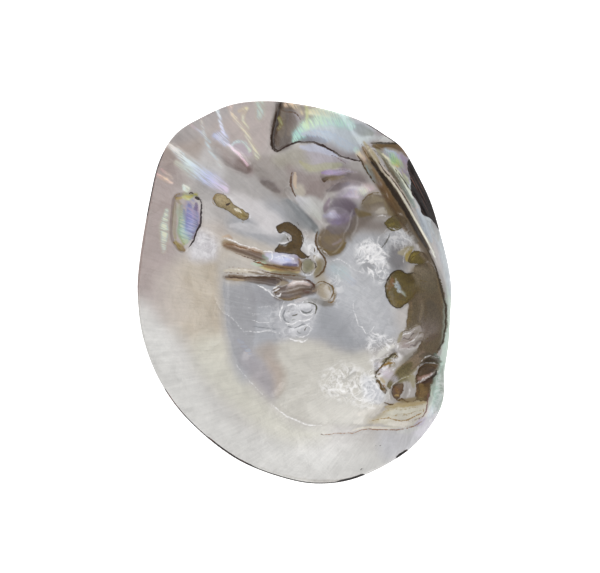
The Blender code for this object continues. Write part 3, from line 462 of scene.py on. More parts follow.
    ("#5f481c", 0.9, 0.6, ((36, -39.4), (37.4, -40), (38.4, -41.6), (39, -43.6), (39.8, -44.2))),
    ("#a0672e", 0.8, 0.45, ((39.4, -41.2), (40.2, -42), (40.6, -43))),
    ("#5d4f2c", 0.8, 0.5, ((57, -22), (58.4, -21.2), (60, -20.8))),
    ("#6a5240", 0.7, 0.6, ((58, -24.4), (59, -23.6), (59.8, -22.4))),
    ("#6c5a4a", 0.7, 0.35, ((50, -22.6), (51.6, -21.2), (53.4, -20.4))),
    ("#77684f", 0.7, 0.35, ((51, -19), (53, -18), (54.4, -17.4))),
    ("#6a5e58", 0.6, 0.35, ((52, -23.6), (53.4, -22), (54, -20.6))),
    ("#6b8478", 0.7, 0.3, ((63, -28.4), (64.4, -29.2))),
    ("#6a5c48", 0.85, 0.5, ((48, -18.8), (49.8, -17.4), (51.6, -17.2), (53, -15.9), (54.8, -15.6))),
    ("#6f6460", 0.8, 0.45, ((47.4, -22.4), (49, -20.8), (50.6, -21), (52.4, -19.2), (54, -19))),
    ("#746a68", 0.8, 0.45, ((50, -25), (51.6, -23.6), (53, -24), (54.6, -22.2), (56.4, -21.6))),
    ("#7d7264", 0.8, 0.45, ((54.6, -20.2), (56, -18.6), (57.4, -18.2))),
    ("#6b8478", 0.7, 0.35, ((61.6, -37.2), (62, -38.8))),
    ("#7a8f86", 0.7, 0.35, ((62.4, -44.6), (62.8, -46.2))),
    ("#5f746c", 0.7, 0.35, ((60.6, -51.8), (60.2, -52.8))),
    ("#8a9a90", 0.6, 0.35, ((64.4, -41), (64.8, -43))),
    # growth edges in the fan and below it
    ("#9c7c46", 0.85, 0.4, ((33.4, -57.4), (37, -56.4), (41, -56.1), (46, -56.8), (51, -56.2), (55, -54.4),
        (57.6, -52.2))),
    ("#a08758", 0.7, 0.35, ((44, -54.8), (50, -54.4), (54, -53), (57.4, -51.4))),
    ("#8f7a56", 0.6, 0.3, ((50, -57.2), (54, -56.4), (57, -54.4))),
    ("#9a8c70", 0.6, 0.3, ((48, -60.4), (51, -59.4), (53.4, -58.8))),
    ("#a08a54", 0.6, 0.4, ((34, -54.2), (38, -51.8), (42, -51.2))),
    ("#b0a07a", 0.7, 0.45, ((36, -54.8), (42, -52.8), (50, -51.7), (57, -50.7))),
    ("#a8986c", 0.7, 0.45, ((39, -53), (45, -51.2), (52, -50.5), (58, -49.7))),
    ("#b5a684", 0.7, 0.45, ((40, -56), (47, -54), (53, -53.3), (57.8, -51.8))),
    ("#a8977a", 0.6, 0.35, ((42, -58.3), (49, -58.2), (54, -56.7), (57.4, -54.6))),
    ("#a39884", 0.65, 0.3, ((46, -59.6), (52, -59), (55.6, -57.8), (58.2, -55.4))),
    ("#8d6a50", 0.85, 0.4, ((11, -63.4), (22, -62.8), (27, -62.4), (30.4, -61.4), (34, -60.9), (38, -61.3),
        (46, -61), (52, -59.4), (56, -57.5))),
    ("#5e4436", 0.8, 0.35, ((11, -63.5), (12.4, -63.3), (14, -63.3))),
    ("#7a5a44", 0.8, 0.35, ((27, -62.3), (29.4, -61.7), (31.6, -61.1))),
    ("#2c2018", 0.95, 0.45, ((35.5, -68.3), (36.3, -68))),
    ("#2c2018", 0.95, 0.5, ((37.6, -68.4), (38.4, -68))),
    ("#2c2018", 0.95, 0.5, ((28.6, -78.2), (30, -77.2))),
    ("#4c4440", 0.8, 0.45, ((-11.6, 71.8), (-11, 71.4))),
    ("#5b5049", 0.6, 0.3, ((-14.4, 43.2), (-14, 42.8))),
    ("#68605c", 0.6, 0.3, ((-10.4, 61), (-9.8, 60.6))),
)

# Crisp strokes over everything below them: colours along it, strength, half width, path
STROKES = (
    # the hinge teeth from the hollow outwards
    (("#8c7a66", "#7f6c56"), 0.85, 1.5, ((30, 58.6), (34, 53), (41.6, 42.4), (44.6, 37.8))),
    (("#8b929a", "#7f8684"), 0.7, 1, ((32.6, 53.4), (34.6, 50.6), (36.4, 48))),
    (("#c2a885", "#ab9d88", "#93856f"), 0.8, 0.4, ((28.6, 61.6), (31.4, 57.4), (35, 52.8), (42, 43.2),
        (44.6, 39.4))),
    # painted highlight where the teeth begin
    (("#dfeae4", "#e9e2d0", "#dcc6a8"), 0.9, 0.7, ((26.6, 62.4), (28.4, 60.8), (30.4, 59))),
    (("#8f7b5c", "#78633f", "#65502f"), 0.9, 1.3, ((30.4, 63.4), (33.6, 58), (41.4, 46.8), (49.6, 34),
        (53.6, 27), (57, 20.6))),
    (("#4a3a22", "#3b2a10", "#45351b"), 0.95, 1.3, ((33.4, 58.6), (35.6, 56), (42.4, 47), (49.6, 35.8),
        (53, 29.6), (56.2, 23.6), (59, 18.4))),
    (("#a59773",), 0.8, 0.8, ((30.6, 65.8), (33, 62.8), (35.6, 59.2), (37.6, 56.4))),
    (("#b5ab94", "#d4c8b3", "#d4ccb8", "#ebe7d6", "#f2f4e8"), 0.95, 0.32, ((33.4, 60.6), (36.4, 56.6),
        (39, 53), (42.4, 48.8), (45.4, 44.8), (50.8, 36), (56.4, 26), (59.4, 20.4), (62, 15))),
    (("#b9aa9c", "#cdbfb2", "#c4b6a8", "#b5ab94"), 0.9, 0.5, ((38.6, 55.2), (41.6, 51.8), (44.2, 48.6),
        (48.8, 42), (50.8, 38.8))),
    (("#8f8a72", "#6f7468", "#8f9c98"), 0.9, 1.1, ((36.4, 62.4), (40, 58), (46.2, 49), (49, 44.8), (51.2, 41),
        (53, 37.4))),
    (("#5a4e38",), 0.8, 0.6, ((38.8, 58.6), (41.2, 55.4), (44, 51.4), (46.2, 48))),
    (("#c9c4a8", "#dfe0cb", "#d5dcd2"), 0.95, 0.5, ((38.6, 60.6), (41.4, 58), (44.4, 54.2), (47, 50.6),
        (50.8, 43.8), (52.4, 41))),
    # the wing
    (("#6a5636", "#5f4a2a", "#67523a", "#746052"), 0.9, 1.3, ((35, 63.8), (39, 63.8), (43.6, 63.9),
        (47.4, 62.8), (49.8, 60))),
    (("#988d80",), 0.7, 0.9, ((37.8, 62), (41.6, 62.4), (46, 61.2))),
    (("#b3aecb", "#a6abce", "#9c98b4"), 0.9, 0.5, ((41.2, 61.8), (43.8, 61.2), (45.8, 59), (48, 57.6))),
    (("#7f9ca0", "#9dba78", "#c39b68"), 0.9, 1.3, ((42.4, 60), (43.6, 58), (45, 56.4), (46, 55))),
    (("#8f8395", "#8a8077"), 0.8, 1.3, ((47.2, 60), (49, 57), (49.4, 53.6))),
    (("#a4a07c", "#a8b096"), 0.8, 0.6, ((47.4, 53), (49, 50), (50.4, 47.4))),
    # the lump
    # painted highlight along the top of the lump
    (("#a69da8", "#dcdae0", "#c4b8bb"), 0.8, 1.4, ((20.4, 42.4), (23.4, 43.8), (26.8, 44.6), (30, 44.4),
        (33.6, 45.6))),
    (("#74696a", "#6f6468", "#85808a"), 0.8, 1.4, ((15, 45), (19.4, 46.4), (24, 47.4))),
    # painted highlight on the top of the lump
    (("#a79ab0", "#d2ccd9", "#cfc3d0"), 0.8, 1.3, ((22.6, 42.4), (25.6, 43.2), (28, 42))),
    # painted shade across the middle of the lump
    (("#7d747c", "#695c68", "#61535c"), 0.7, 2, ((17.6, 40.4), (21.4, 39.6), (24.6, 38), (26.6, 35))),
    (("#8d7d8c", "#7f7078"), 0.8, 1, ((15.8, 41.4), (14.4, 38), (13.6, 35.4))),
    # painted highlight on the lump's lower crown
    (("#a29aac", "#b9b2c4", "#a39aae"), 0.75, 1.5, ((14.4, 33.2), (17, 34.2), (19.6, 33.4))),
    (("#948b9c", "#7a6e80"), 0.7, 1.6, ((15.4, 31.4), (18.6, 31), (22.4, 34.4))),
    (("#6f676c", "#675b58"), 0.7, 1.8, ((14.6, 28.4), (18.4, 27.8), (22.4, 28.4), (25, 31))),
    (("#77684f", "#7a6b58", "#77674a"), 0.85, 2.4, ((14.6, 23.4), (18, 22.6), (21, 22))),
    (("#6d5a3c", "#74602f"), 0.85, 0.9, ((11.4, 24.6), (11.2, 21), (13.4, 18), (17, 16.6), (20.4, 18.4),
        (22.6, 21.6))),
    (("#8b7e7e",), 0.7, 1.1, ((17.6, 20.8), (20.4, 23))),
    # the stub, its hollow and the warm field about them
    # lilac stub, with a painted highlight along its top
    (("#9b85ac", "#b7a5c9", "#ad9dbd", "#a99ba8"), 0.9, 0.9, ((12.8, 52.4), (15.6, 53), (19, 52.8),
        (23, 52.2))),
    (("#54402c", "#86755a", "#9c8f82"), 0.9, 0.9, ((12.6, 50), (15, 50.2), (18.6, 50.6), (22, 50.8))),
    (("#c9b298",), 0.8, 0.7, ((0.6, 53), (0.3, 49), (0.6, 46))),
    (("#a8a380", "#a9a893"), 0.75, 1.3, ((2.6, 57.6), (8, 54.8), (14, 55.6), (21, 56))),
    # the lobes
    (("#80725a", "#978a72", "#948870"), 0.8, 1.5, ((31, 38.8), (34.6, 40.8), (38.6, 40.4))),
    (("#87775a", "#78694a"), 0.85, 2, ((40.6, 40.4), (43, 36.6), (45.6, 32.4))),
    (("#716038",), 0.8, 1.2, ((27, 36.4), (29.6, 34.4), (33.6, 34))),
    (("#c3bbb0", "#cdc6bc", "#bcb4a6"), 0.8, 1.1, ((36.4, 35), (39, 35.8), (41, 35))),
    (("#8b6d3f",), 0.8, 0.8, ((46.6, 30.6), (48.4, 28.4), (50, 25.6))),
    (("#9b8c4a", "#8f8038"), 0.6, 1, ((41.8, 29.4), (44, 29.8))),
    # the diagonal crease: a painted highlight above it and painted shade below it
    (("#d0cfd4", "#bcbdb6"), 0.85, 2.2, ((1.6, 41.4), (4.6, 39), (8, 36.4), (11, 33))),
    (("#77797b", "#606467", "#757879"), 0.85, 1.5, ((-3, 40.4), (0.8, 36.8), (5, 32.6), (8.4, 29.2),
        (10.4, 26))),
    (("#8f9194", "#86898c", "#8f9294"), 0.6, 3.2, ((-4, 40), (1, 34.6), (6, 29))),
    # the upper pearl blister
    (("#c2a98f", "#a48b77"), 0.8, 0.6, ((-31.6, 24), (-29, 24.6), (-27.4, 23.2))),
    (("#8c7054", "#705b4c", "#76645a"), 0.95, 1.4, ((-30.6, 20.4), (-26, 19.6), (-16, 15.8), (-13, 14.6))),
    (("#a59380",), 0.7, 0.6, ((-26, 17.4), (-21, 15.6), (-17.6, 14.2))),
    (("#aeb8b0", "#c4d8b8"), 0.85, 0.8, ((-19, 12.4), (-16, 12), (-12.4, 12.6))),
    (("#7f8c80", "#93a08c"), 0.85, 1.3, ((-13.4, 15.8), (-11.6, 14.6))),
    (("#a8a2c0", "#8c7f9a"), 0.8, 0.8, ((0.4, 15.6), (1.8, 14.2), (2, 12.6))),
    # painted highlight along the top of the blister's head
    (("#c0c4d4", "#d4d6ea", "#cccfe6", "#a59ca4"), 0.95, 1.6, ((-10.6, 16), (-7, 15.4), (-3, 14.8),
        (0.8, 14))),
    # painted shadow under the blister's head
    (("#6f6c94", "#4f4e7a", "#6b5a78"), 0.9, 0.8, ((-4.6, 12.4), (-1.8, 12), (1, 12))),
    (("#9a7c52", "#86673f", "#8a6e4c"), 0.95, 1.3, ((-13, 11.2), (-8, 10.6), (-3, 10.2), (2, 10.6))),
    (("#c9c08a", "#bfb07a", "#b5a67c"), 0.85, 0.45, ((-15, 10.6), (-9, 9.2), (-3, 8.7), (2.6, 8.6))),
    (("#8a6d50",), 0.9, 0.7, ((2, 14.6), (2.8, 12.6), (2.4, 11))),
    (("#8a8672", "#7b7760", "#858068"), 0.95, 1.9, ((5, 12), (6.8, 11), (7.6, 10.4))),
    (("#7f7e66",), 0.7, 0.6, ((5, 13.4), (7, 13.6), (8.4, 12.6))),
    (("#948868", "#7a6c4a", "#85784f", "#827860"), 0.85, 0.9, ((9.8, 15), (11, 12.4), (10.6, 9.8),
        (9.2, 7.6))),
    # between the blisters
    (("#cdc4b2", "#c9bfb0"), 0.8, 0.9, ((-31, 9.4), (-25, 9.5), (-18, 8.8), (-12, 8))),
    (("#ad9471",), 0.7, 0.5, ((-30.4, 5.6), (-24, 5.2), (-17, 4.8))),
    (("#8a8168", "#6d644f", "#766c60"), 0.85, 0.9, ((-10, 8.8), (-4, 8.3), (0.6, 7.6), (5, 6.2))),
    # the lower pearl blister
    (("#54402f", "#43342c"), 0.95, 1, ((-20, 5.6), (-14, 5.6), (-8.6, 5.2))),
    (("#6b5d54", "#584d4a", "#5a4f4c"), 0.9, 1.2, ((-15, 4.4), (-11, 3.8), (-7, 4))),
    (("#a59884", "#948672"), 0.8, 0.8, ((-7.6, 2.8), (-5, 3.6), (-3, 4))),
    (("#6f6053", "#6a5849", "#4f3c30"), 0.95, 2.3, ((-2.4, 0.4), (1, 0.6), (4.6, 1), (8, 1.4))),
    # painted highlight along the top of the lower pearl blister
    (("#cbbab2", "#ddd0cb", "#d8cac6", "#c2aca4"), 0.9, 0.8, ((-2.6, 2.6), (-0.2, 4), (3.6, 4.2),
        (7.2, 3.2))),
    (("#876c4d",), 0.85, 0.6, ((-5.4, -3), (-3, -3.4), (0, -2.8), (3, -1.8))),
    (("#978473",), 0.8, 0.9, ((8.6, 0.4), (10.4, 0.6))),
    # inside the hooked pit's curl
    (("#959592",), 0.8, 0.8, ((-5.4, 22.4), (-4, 24), (-2.8, 23.4))),
    (("#d3d3d4",), 0.8, 0.6, ((-6.4, 21.4), (-4.4, 21), (-2.8, 21.6))),
    # the worn window: brown left side, pearly middle, violet right side, gold at the ends
    (("#84745a", "#8a7e68", "#8a7e6c", "#85784f"), 0.85, 0.8, ((-52.6, 40), (-53, 35), (-53.2, 29),
        (-52.4, 23.4))),
    (("#827255",), 0.85, 1.1, ((-52, 41), (-50.6, 39))),
    (("#9a9684", "#8f9684", "#98a48c"), 0.9, 1.2, ((-51, 38.6), (-50.8, 35.4), (-50.8, 32))),
    (("#6f8a72", "#7d9678", "#8a8a4a"), 0.9, 1, ((-50.4, 33), (-50.4, 30), (-50.6, 27), (-50, 24),
        (-49, 21.4))),
    (("#6f7c94", "#77889f", "#8196a5", "#889c8c"), 0.9, 1, ((-48.8, 36.6), (-48.6, 32.6), (-48.6, 28.6),
        (-48, 25), (-47.6, 22))),
    (("#65699a", "#666494", "#70749a"), 0.9, 1.4, ((-46.4, 39), (-46.2, 35.4), (-46.6, 31.4), (-46, 27),
        (-46.4, 23.4))),
    (("#5c4f72", "#5e5278", "#544660", "#5e5070", "#6c5f7c"), 0.9, 1.2, ((-43.2, 38.8), (-43.4, 35),
        (-43.4, 31.4), (-44.4, 27.4), (-45, 24))),
    (("#b0a0b2",), 0.7, 0.5, ((-42.2, 38), (-42.2, 34), (-42.8, 30))),
    (("#9d8546",), 0.95, 1.3, ((-52, 41.6), (-50.4, 41.8))),
    (("#b9b97a", "#ccd098", "#a9a468"), 0.9, 1, ((-49.4, 42.2), (-47.2, 41.8), (-45.2, 42.4))),
    (("#8c7828", "#6f5412"), 0.95, 1.2, ((-52.6, 22), (-50.4, 19.8), (-48.8, 18.8))),
    (("#d8e8de", "#dcece6", "#cfdcd0"), 0.8, 0.7, ((-49.6, 47), (-48.6, 45.8), (-47.4, 44.6))),
    # the amber crust
    (("#c2b18c", "#a8946c"), 0.8, 2, ((-33.6, 41), (-31.6, 40.4), (-29.6, 38.4))),
    (("#a9946a", "#94803c"), 0.8, 1.6, ((-27.6, 36.2), (-25, 34.8), (-22.4, 33.4))),
    # painted highlight on the crust
    (("#f1e9d2",), 0.95, 0.55, ((-26.8, 37), (-25.6, 36.4), (-24, 35.4))),
    # the kidney pit
    (("#6b5a1e", "#806238"), 0.85, 1.3, ((44, 7), (42.8, 4.6), (42.6, 1))),
    (("#8f623a",), 0.75, 0.6, ((43.4, 6), (43.8, 4), (44, 2.4))),
    (("#725e1e",), 0.85, 1.4, ((43.6, -2.4), (45.6, -5), (48.6, -5))),
    # painted glint: white and blue specks of light in the pit
    (("#a9a58e", "#d6dad8", "#8f9aa2", "#cdd2d2", "#9c9a84"), 0.9, 0.45, ((45, 5.6), (45.6, 4), (45.4, 2.2),
        (47, 1.6), (46.6, 0), (48.4, -0.4), (50, -2.2))),
    (("#b0b4ac", "#8d969c"), 0.8, 0.4, ((44, 3.6), (45.4, 3), (46.8, 2.8))),
    (("#87939a",), 0.8, 0.6, ((47, 2.6), (48, 1.2))),
    (("#584712",), 0.9, 2.1, ((48.8, 6), (51.6, 5.6), (54, 4.4))),
    (("#6a5a2c", "#6f5f40"), 0.8, 2, ((51, 1), (55, 1.6), (59, 1))),
    # the knob
    (("#b4ab92", "#b0a484", "#8f8460"), 0.9, 1.6, ((46.4, 17.4), (49.4, 18), (52, 19.4))),
    (("#b9a24c", "#948030"), 0.9, 0.8, ((50.2, 13.6), (50, 16), (51.8, 18.2))),
    (("#a8963c", "#8f7c2c"), 0.8, 0.7, ((52, 14), (53, 16), (54.8, 17))),
    (("#8a7a64", "#7c6a52"), 0.8, 1.6, ((56, 16.4), (59, 14.6), (60.6, 11))),
    # the umbo cavity, olive above and redder below
    (("#968770", "#70654e"), 0.8, 4, ((54, 9), (58, 6), (61, 1))),
    (("#5f5444", "#6c6050", "#857870", "#96897f"), 0.8, 4, ((60, -6), (60, -11), (59, -16), (58, -20))),
    (("#635439",), 0.7, 3, ((53.6, -4), (53.6, -13))),
    # streaks down the umbo cavity
    (("#908068",), 0.6, 0.5, ((56.6, -4), (56.8, -8), (56, -13))),
    (("#69583e",), 0.6, 0.5, ((57.8, -3), (58.2, -8), (57.8, -13.6))),
    (("#7e6648", "#6b5a34", "#806a42"), 0.85, 0.9, ((52.4, -4.6), (51.6, -8.6), (51.4, -12.6),
        (50.8, -16.4))),
    (("#887555",), 0.6, 0.6, ((63, 6), (64.4, 0), (65, -6))),
    (("#6e5c4e",), 0.7, 1.2, ((58.4, -22.4), (60.4, -20.6), (63, -19))),
    (("#93877e", "#7f7668"), 0.85, 2.4, ((47, -23.4), (51, -20.6), (54.6, -17.6))),
    (("#776b52",), 0.8, 1.2, ((50, -16.6), (53, -15), (56, -14.6))),
    (("#807467",), 0.8, 1.4, ((53, -24), (56, -21))),
    (("#a49995",), 0.7, 0.7, ((48, -21.4), (51.4, -18.8), (54.6, -16.6))),
    (("#a89c9a", "#988c88"), 0.7, 1, ((47, -24.6), (50, -24.2), (53, -23))),
    (("#887d5b",), 0.8, 0.9, ((46, -22.6), (47.2, -20.4), (48.2, -18.6))),
    # the ridge that runs from the umbo down to the scar, light on its lower side
    (("#937f6e", "#8f7c62", "#8c7a54", "#988664"), 0.9, 2.2, ((57, -27.6), (52.6, -31.8), (48, -35.6),
        (43.6, -40.4))),
    (("#90867c", "#8f8a7e", "#a39a90"), 0.75, 1, ((54, -26), (50.4, -29.4), (47.4, -32.6))),
    (("#8a7d5c", "#79704f"), 0.85, 1.2, ((54, -34.4), (50, -37), (46, -39.6))),
    # the retractor pit
    (("#6b4c38", "#806a50"), 0.9, 1.4, ((44.6, -44.4), (46, -42.4), (48, -40.8))),
    (("#c2a468", "#b0925a"), 0.85, 0.7, ((45, -46.2), (46.6, -46.6))),
    # the tooth socket
    (("#4a3a26", "#4c4026", "#5c5e4c"), 0.9, 1.1, ((57.4, -32), (60, -30.8), (62.8, -31.4))),
    (("#6b5a44", "#5a4632", "#54453a"), 0.9, 1.5, ((55.6, -36.4), (58.4, -35), (61.6, -34.6))),
    (("#6b4c40", "#402e24"), 0.9, 1.5, ((56.4, -40), (59, -38.6), (61.4, -37))),
    (("#c4a094", "#cda99c", "#a98478"), 0.95, 0.55, ((54.8, -39), (57.8, -37.7), (61, -35.9))),
    (("#a58474", "#8f6f60"), 0.8, 0.6, ((54.6, -38), (55.6, -39.8))),
    (("#8d7242", "#866a3e"), 0.9, 1.8, ((56.4, -41.6), (56.4, -44.4), (56, -46.6))),
    (("#533e1b",), 0.8, 0.5, ((55.4, -41), (55.6, -46))),
    (("#85683d",), 0.8, 0.6, ((58.6, -42.6), (58.8, -45.6))),
    # the scar
    (("#a99250", "#94803e"), 0.85, 0.7, ((45, -28.8), (42, -31), (39, -34))),
    (("#dcd9d2", "#cfcdc8"), 0.8, 1.3, ((44, -24.4), (40.4, -26.4), (37, -29.4))),
    (("#6d6044", "#706a5c"), 0.8, 0.6, ((43.4, -29.6), (46.4, -30))),
    (("#c9cad0",), 0.7, 1.3, ((39, -37), (41.6, -35.6))),
    (("#a89058", "#b39e6e"), 0.7, 0.8, ((36.2, -37.6), (38.4, -38.8), (40, -40.4))),
    # the fan
    (("#b5a478", "#b09868"), 0.8, 0.8, ((40.6, -51.6), (46, -50), (52, -49.8), (57.6, -48.8))),
    (("#d2cfc0", "#d9d6c9", "#d2cebd"), 0.8, 1.3, ((42, -54.2), (48, -52.8), (55, -52.2))),
    (("#d8d0bf",), 0.8, 0.4, ((26, -61.4), (32, -60.2), (38, -60.5), (45, -60.3))),
    (("#b6adc1",), 0.7, 1, ((53.4, -58.6), (56, -57.4), (57.6, -55.4))),
    # green and white below the beak
    (("#738c80",), 0.7, 0.7, ((62, -27.6), (64, -29.4))),
    (("#b6cdbb", "#a4bbb2"), 0.8, 1, ((62.6, -37), (61.8, -41.6), (62.6, -46), (61.6, -50.6))),
    (("#d4e8d6",), 0.8, 0.4, ((60.6, -41), (60.4, -44), (61, -46.6))),
    # light on the ledge's outer edge, shade under its inner one
    (("#e2e0c4", "#cfe1d7", "#bfc9c8"), 0.85, 1.8, ((6, 79.8), (11, 79), (17, 78), (22, 76.6), (26, 75))),
    (("#6a7276", "#767684", "#9aa3b2"), 0.85, 1.2, ((0.5, 67.4), (5, 68), (10, 67.6), (14, 66.4))),
    (("#969ba0", "#8f938e"), 0.85, 2.2, ((26, 73), (30, 71), (34, 69.6))),
    (("#5c4c40", "#6f6052"), 0.75, 1.8, ((-1.6, 78.4), (-0.6, 74.4), (-2.4, 69.6))),
    (("#b8bcd0",), 0.75, 1.5, ((3, 64), (11, 63.4), (19, 60.2))),
    (("#cccacc",), 0.6, 1.6, ((-28, 29.4), (-20, 28), (-12, 26.4))),
    (("#cbb7a7",), 0.7, 0.7, ((-27, 20.8), (-20, 19), (-14, 17.6))),
    # dark spots in the upper field
    (("#635954",), 0.7, 1.6, ((-14, 49), (-10.6, 47), (-7, 44.6))),
    # shade under the pearl blisters
    (("#6a5a4c", "#5e524c"), 0.85, 0.9, ((-22, 5.2), (-17, 4.4), (-12, 3.6))),
    (("#8f8f8e", "#6f6b67", "#8a8278"), 0.85, 1.2, ((4.6, -5), (7, -4.2), (11.4, -4.8), (14.6, -5.4),
        (17.4, -4.4), (18.6, -1))),
    (("#c4bfc0",), 0.8, 0.8, ((0.4, -4.4), (3, -3.6), (6, -2.9))),
    (("#7f6f5c", "#6a5a4a", "#75695c"), 0.85, 0.7, ((-20, 8.6), (-12, 7.6), (0, 5.8), (5, 5.2))),
    (("#75604b",), 0.8, 0.7, ((-29, 7.2), (-24, 6.6), (-20, 6.2))),
    (("#887a63",), 0.75, 0.7, ((16.8, 2.4), (18.2, -0.6), (18, -3.8))),
    (("#8a7d62", "#80745a", "#857a64"), 0.75, 1.5, ((9.4, 15.2), (12, 12.4), (12, 9.4), (10, 6.6))),
    # the dark inner side of the hinge teeth
    (("#7a5c34", "#6b4e28", "#5f4420", "#573f1c", "#5c4a30", "#6b645c"), 0.9, 1.5, ((34.4, 53.4), (38, 47.6),
        (41.6, 42), (45, 36.4), (48.6, 30.4), (54, 21.6))),
    (("#a5b0ba",), 0.75, 1.2, ((54.4, 36), (57.4, 29), (60.4, 22))),
    (("#6b5a42", "#5c4c34"), 0.85, 1.3, ((55, 21.4), (57.4, 17.6), (59.8, 13))),
    (("#8a8584", "#a5a5a4"), 0.8, 1, ((60.6, 31), (62.4, 27), (63.4, 22.4))),
    # shade in the green strip
    (("#6c5d49", "#534e3e", "#55554a"), 0.9, 1.2, ((56, -28.6), (59, -28.6), (62, -29.4), (64, -31))),
    (("#8a938a", "#818980", "#959c96"), 0.75, 1.3, ((65, -33), (64.6, -40), (64.2, -46), (62, -53))),
    (("#958969", "#817656", "#80765c"), 0.9, 1.2, ((42, -42.4), (44.2, -39.6), (46.4, -36.8), (49, -33.6))),
    (("#84785a", "#8a7e60"), 0.8, 1, ((44.6, -32.2), (42, -32.8), (39.6, -34.2))),
    # pale bands of the fan
    (("#dad6ce", "#dcd8d0", "#c8bfac"), 0.75, 1.5, ((27, -58), (31, -57.2), (35, -57.4))),
    (("#e6e1d7", "#e6e0d6", "#c6c2ba"), 0.9, 1.2, ((42, -58.4), (48, -58.2), (54, -56.4))),
    (("#d1d1cf",), 0.7, 1.2, ((46, -61.9), (50, -61.4), (54, -60))),
    (("#d6d1c8",), 0.8, 2, ((29, -54.4), (34, -53.2), (39, -50.6))),
    # shade along the margin
    (("#b5b4b0", "#c4c2bc", "#a09890"), 0.6, 0.8, ((-20, -75.8), (-10, -79.6), (0, -82.2), (10, -83.6),
        (22, -83))),
    # the dark brown left bank of the ledge
    (("#4f3a24", "#3c2a18", "#452f1e", "#54402e"), 0.9, 1.9, ((-6.4, 81), (-7.6, 76), (-8.2, 70),
        (-7.4, 65.6))),
    (("#695b4b",), 0.8, 1.8, ((-5, 80), (-5.4, 74), (-5.6, 69))),
    # the olive tongue that runs on between the blisters below the hinge
    (("#64582f", "#857a54"), 0.9, 1.7, ((52, -32), (48.4, -35.6), (45, -38.8), (41.8, -42))),
    (("#857b4c", "#7d7340", "#867c4c"), 0.85, 0.9, ((38.4, -33.8), (40.6, -31.4), (43, -29.4),
        (44.8, -28.8))),
    (("#74643a", "#6c5a2e", "#8a7b50"), 0.8, 1, ((40.4, -32.6), (42.6, -32), (44.8, -32.8))),
    (("#989068", "#918862", "#a39a7c"), 0.75, 1.4, ((47.4, -39.6), (50, -38.4), (52.6, -39), (53.4, -42))),
    (("#7a5428", "#8f6c3c"), 0.8, 0.9, ((44.2, -42.4), (45.6, -43.6), (46.4, -45.4))),
    (("#8a7440", "#7f6a3a", "#94855a"), 0.8, 0.9, ((46.4, -48.2), (50, -48.2), (54, -47.6), (57.4, -47.2))),
    (("#463421",), 0.7, 0.8, ((57.4, -31), (60, -30.2), (62.6, -30.4))),
    # torn rust brown and olive shreds where the dark skin begins
    (("#7d6d5c", "#544032"), 0.8, 0.8, ((50.6, 57.4), (51.2, 54.4), (51.6, 51.4))),
)

